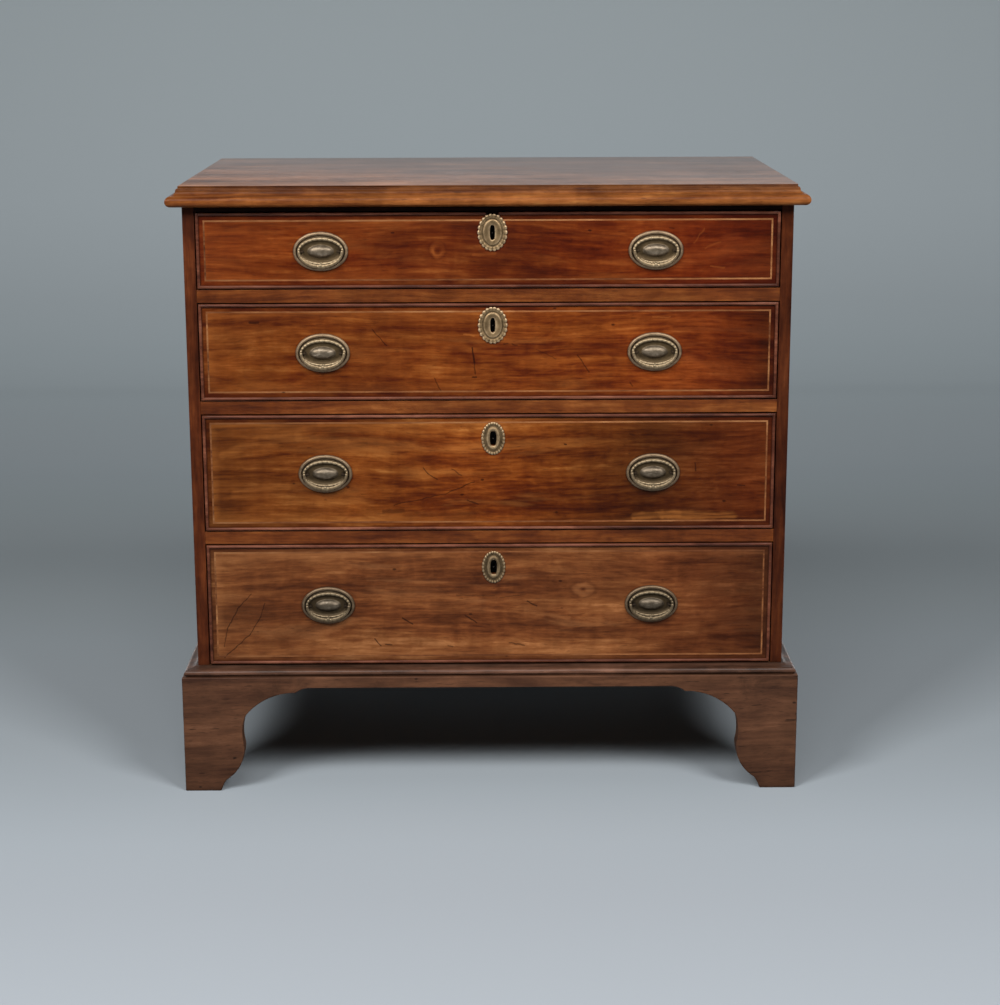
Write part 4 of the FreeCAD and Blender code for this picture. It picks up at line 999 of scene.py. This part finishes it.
# Tones of the floor and the wall at y + z, from near the camera to high up the wall. Their rises and dips
# paint light and shade onto the stage.
STAGE_TONES_AND_LIGHT = [
    (-2.0, (164, 170, 176)), (-0.64, (152, 158, 164)), (-0.45, (152, 159, 165)), (-0.05, (143, 150, 155)),
    (0.25, (147, 154, 159)), (0.47, (149, 157, 162)), (0.72, (147, 155, 159)), (1.09, (142, 150, 154)),
    (1.28, (143, 151, 155)), (1.53, (145, 154, 158)), (1.80, (150, 159, 164)), (2.07, (159, 168, 173)),
    (2.49, (173, 183, 188)), (2.75, (182, 193, 198)), (3.00, (186, 197, 202)), (3.32, (181, 192, 197)),
    (3.69, (180, 190, 195)), (4.29, (185, 195, 200)), (5.20, (184, 194, 198)), (6.4, (206, 218, 226)),
]
BOUNCE_TONE = srgb(126, 130, 134)  # what the stage throws back on the chest
# Painted light: the floor and the wall glow with this where the lamps no longer reach.
FAR_PAINTED_GLOW = srgb(118, 125, 129)  # glow of the floor where the lamps no longer reach
LIT_HALF_WIDTH, LIT_FRONT = 1.6, -1.0  # the floor that the lamps reach
LAMPS_FADE = (0.8, 4.5)  # distances beyond it where they fade out


def backdrop():
    """A pale floor that sweeps up into a grey-blue wall, with light and shade painted into its tones, and a
    painted glow where the lamps no longer reach.
    """
    profile = [(-STAGE_REACH, 0.0), (STAGE_FLAT, 0.0)]
    for step in range(1, 13):
        angle = math.pi / 2 * step / 12
        profile.append((STAGE_FLAT + STAGE_BEND * math.sin(angle), STAGE_BEND - STAGE_BEND * math.cos(angle)))
    profile.append((STAGE_FLAT + STAGE_BEND, STAGE_TOP))
    verts = [Vector((x, y, z)) for y, z in profile for x in (-STAGE_REACH, STAGE_REACH)]
    faces = [(2 * i, 2 * i + 1, 2 * i + 3, 2 * i + 2) for i in range(len(profile) - 1)]
    t = Tree("backdrop")
    place = t.place()
    near, far = STAGE_TONES_AND_LIGHT[0][0], STAGE_TONES_AND_LIGHT[-1][0]
    share = t.linear(t.math("ADD", place[1], place[2]), near, far)
    colour = t.ramp(share, [((at - near) / (far - near), srgb(*tone)) for at, tone in STAGE_TONES_AND_LIGHT])
    rays = t.node("ShaderNodeLightPath").outputs
    seen = t.math("MAXIMUM", rays["Is Glossy Ray"], rays["Is Transmission Ray"])
    seen = t.math("MAXIMUM", rays["Is Camera Ray"], seen)
    colour = t.mix(seen, BOUNCE_TONE, colour)
    # Painted light: beyond the lamps' reach the stage glows, for the camera and in reflections.
    beside = t.math("SUBTRACT", t.math("ABSOLUTE", place[0]), LIT_HALF_WIDTH)
    before = t.math("SUBTRACT", LIT_FRONT, place[1])
    painted_glow_share = t.remap(t.math("MAXIMUM", beside, before), *LAMPS_FADE)
    material = t.principled({"Base Color": colour, "Roughness": 0.85, "Specular IOR Level": 0.2,
                             "Emission Color": (*FAR_PAINTED_GLOW, 1), "Emission Strength": t.product(painted_glow_share, seen)})
    piece = new_object("backdrop", verts, faces, material)
    return piece


def area_light(name, at, target, size, energy):
    data = bpy.data.lights.new(name, "AREA")
    data.shape = "RECTANGLE"
    data.size, data.size_y = size
    data.energy = energy
    lamp = bpy.data.objects.new(name, data)
    bpy.context.scene.collection.objects.link(lamp)
    lamp.location = at
    lamp.rotation_euler = (Vector(target) - Vector(at)).to_track_quat("-Z", "Y").to_euler()
    return lamp


def rear_lights(stage):
    """Two lamps for the chest's back, which leave the stage as it is."""
    unlit = bpy.data.collections.new("not_lit_from_behind")
    unlit.objects.link(stage)
    unlit.collection_objects[0].light_linking.link_state = "EXCLUDE"
    for side, word in ((-1, "left"), (1, "right")):
        lamp = area_light(f"{word}_rear", (2.3 * side, 2.6, 1.15), (0, 0.26, 0.45), (1.0, 1.2), 30)
        lamp.light_linking.receiver_collection = unlit


stage = backdrop()
area_light("left_front", (-2.08, -2.75, 3.12), (-0.05, 0, 0.4), (1.4, 1.4), 154)
area_light("right_front", (2.0, -2.75, 3.12), (0.05, 0, 0.4), (1.4, 1.4), 132)
area_light("front", (-0.2, -3.0, 3.5), (0, -0.1, 0.4), (1.6, 1.1), 44)
area_light("sky", (0, -0.6, 3.8), (0, -0.1, 0), (3.0, 1.6), 8)
rear_lights(stage)

world = bpy.data.worlds.new("world")
bpy.context.scene.world = world
world.use_nodes = True
background = world.node_tree.nodes["Background"].inputs
background["Color"].default_value = (*srgb(168, 174, 180), 1)
background["Strength"].default_value = 0.025

bpy.context.scene.view_settings.view_transform = "Standard"
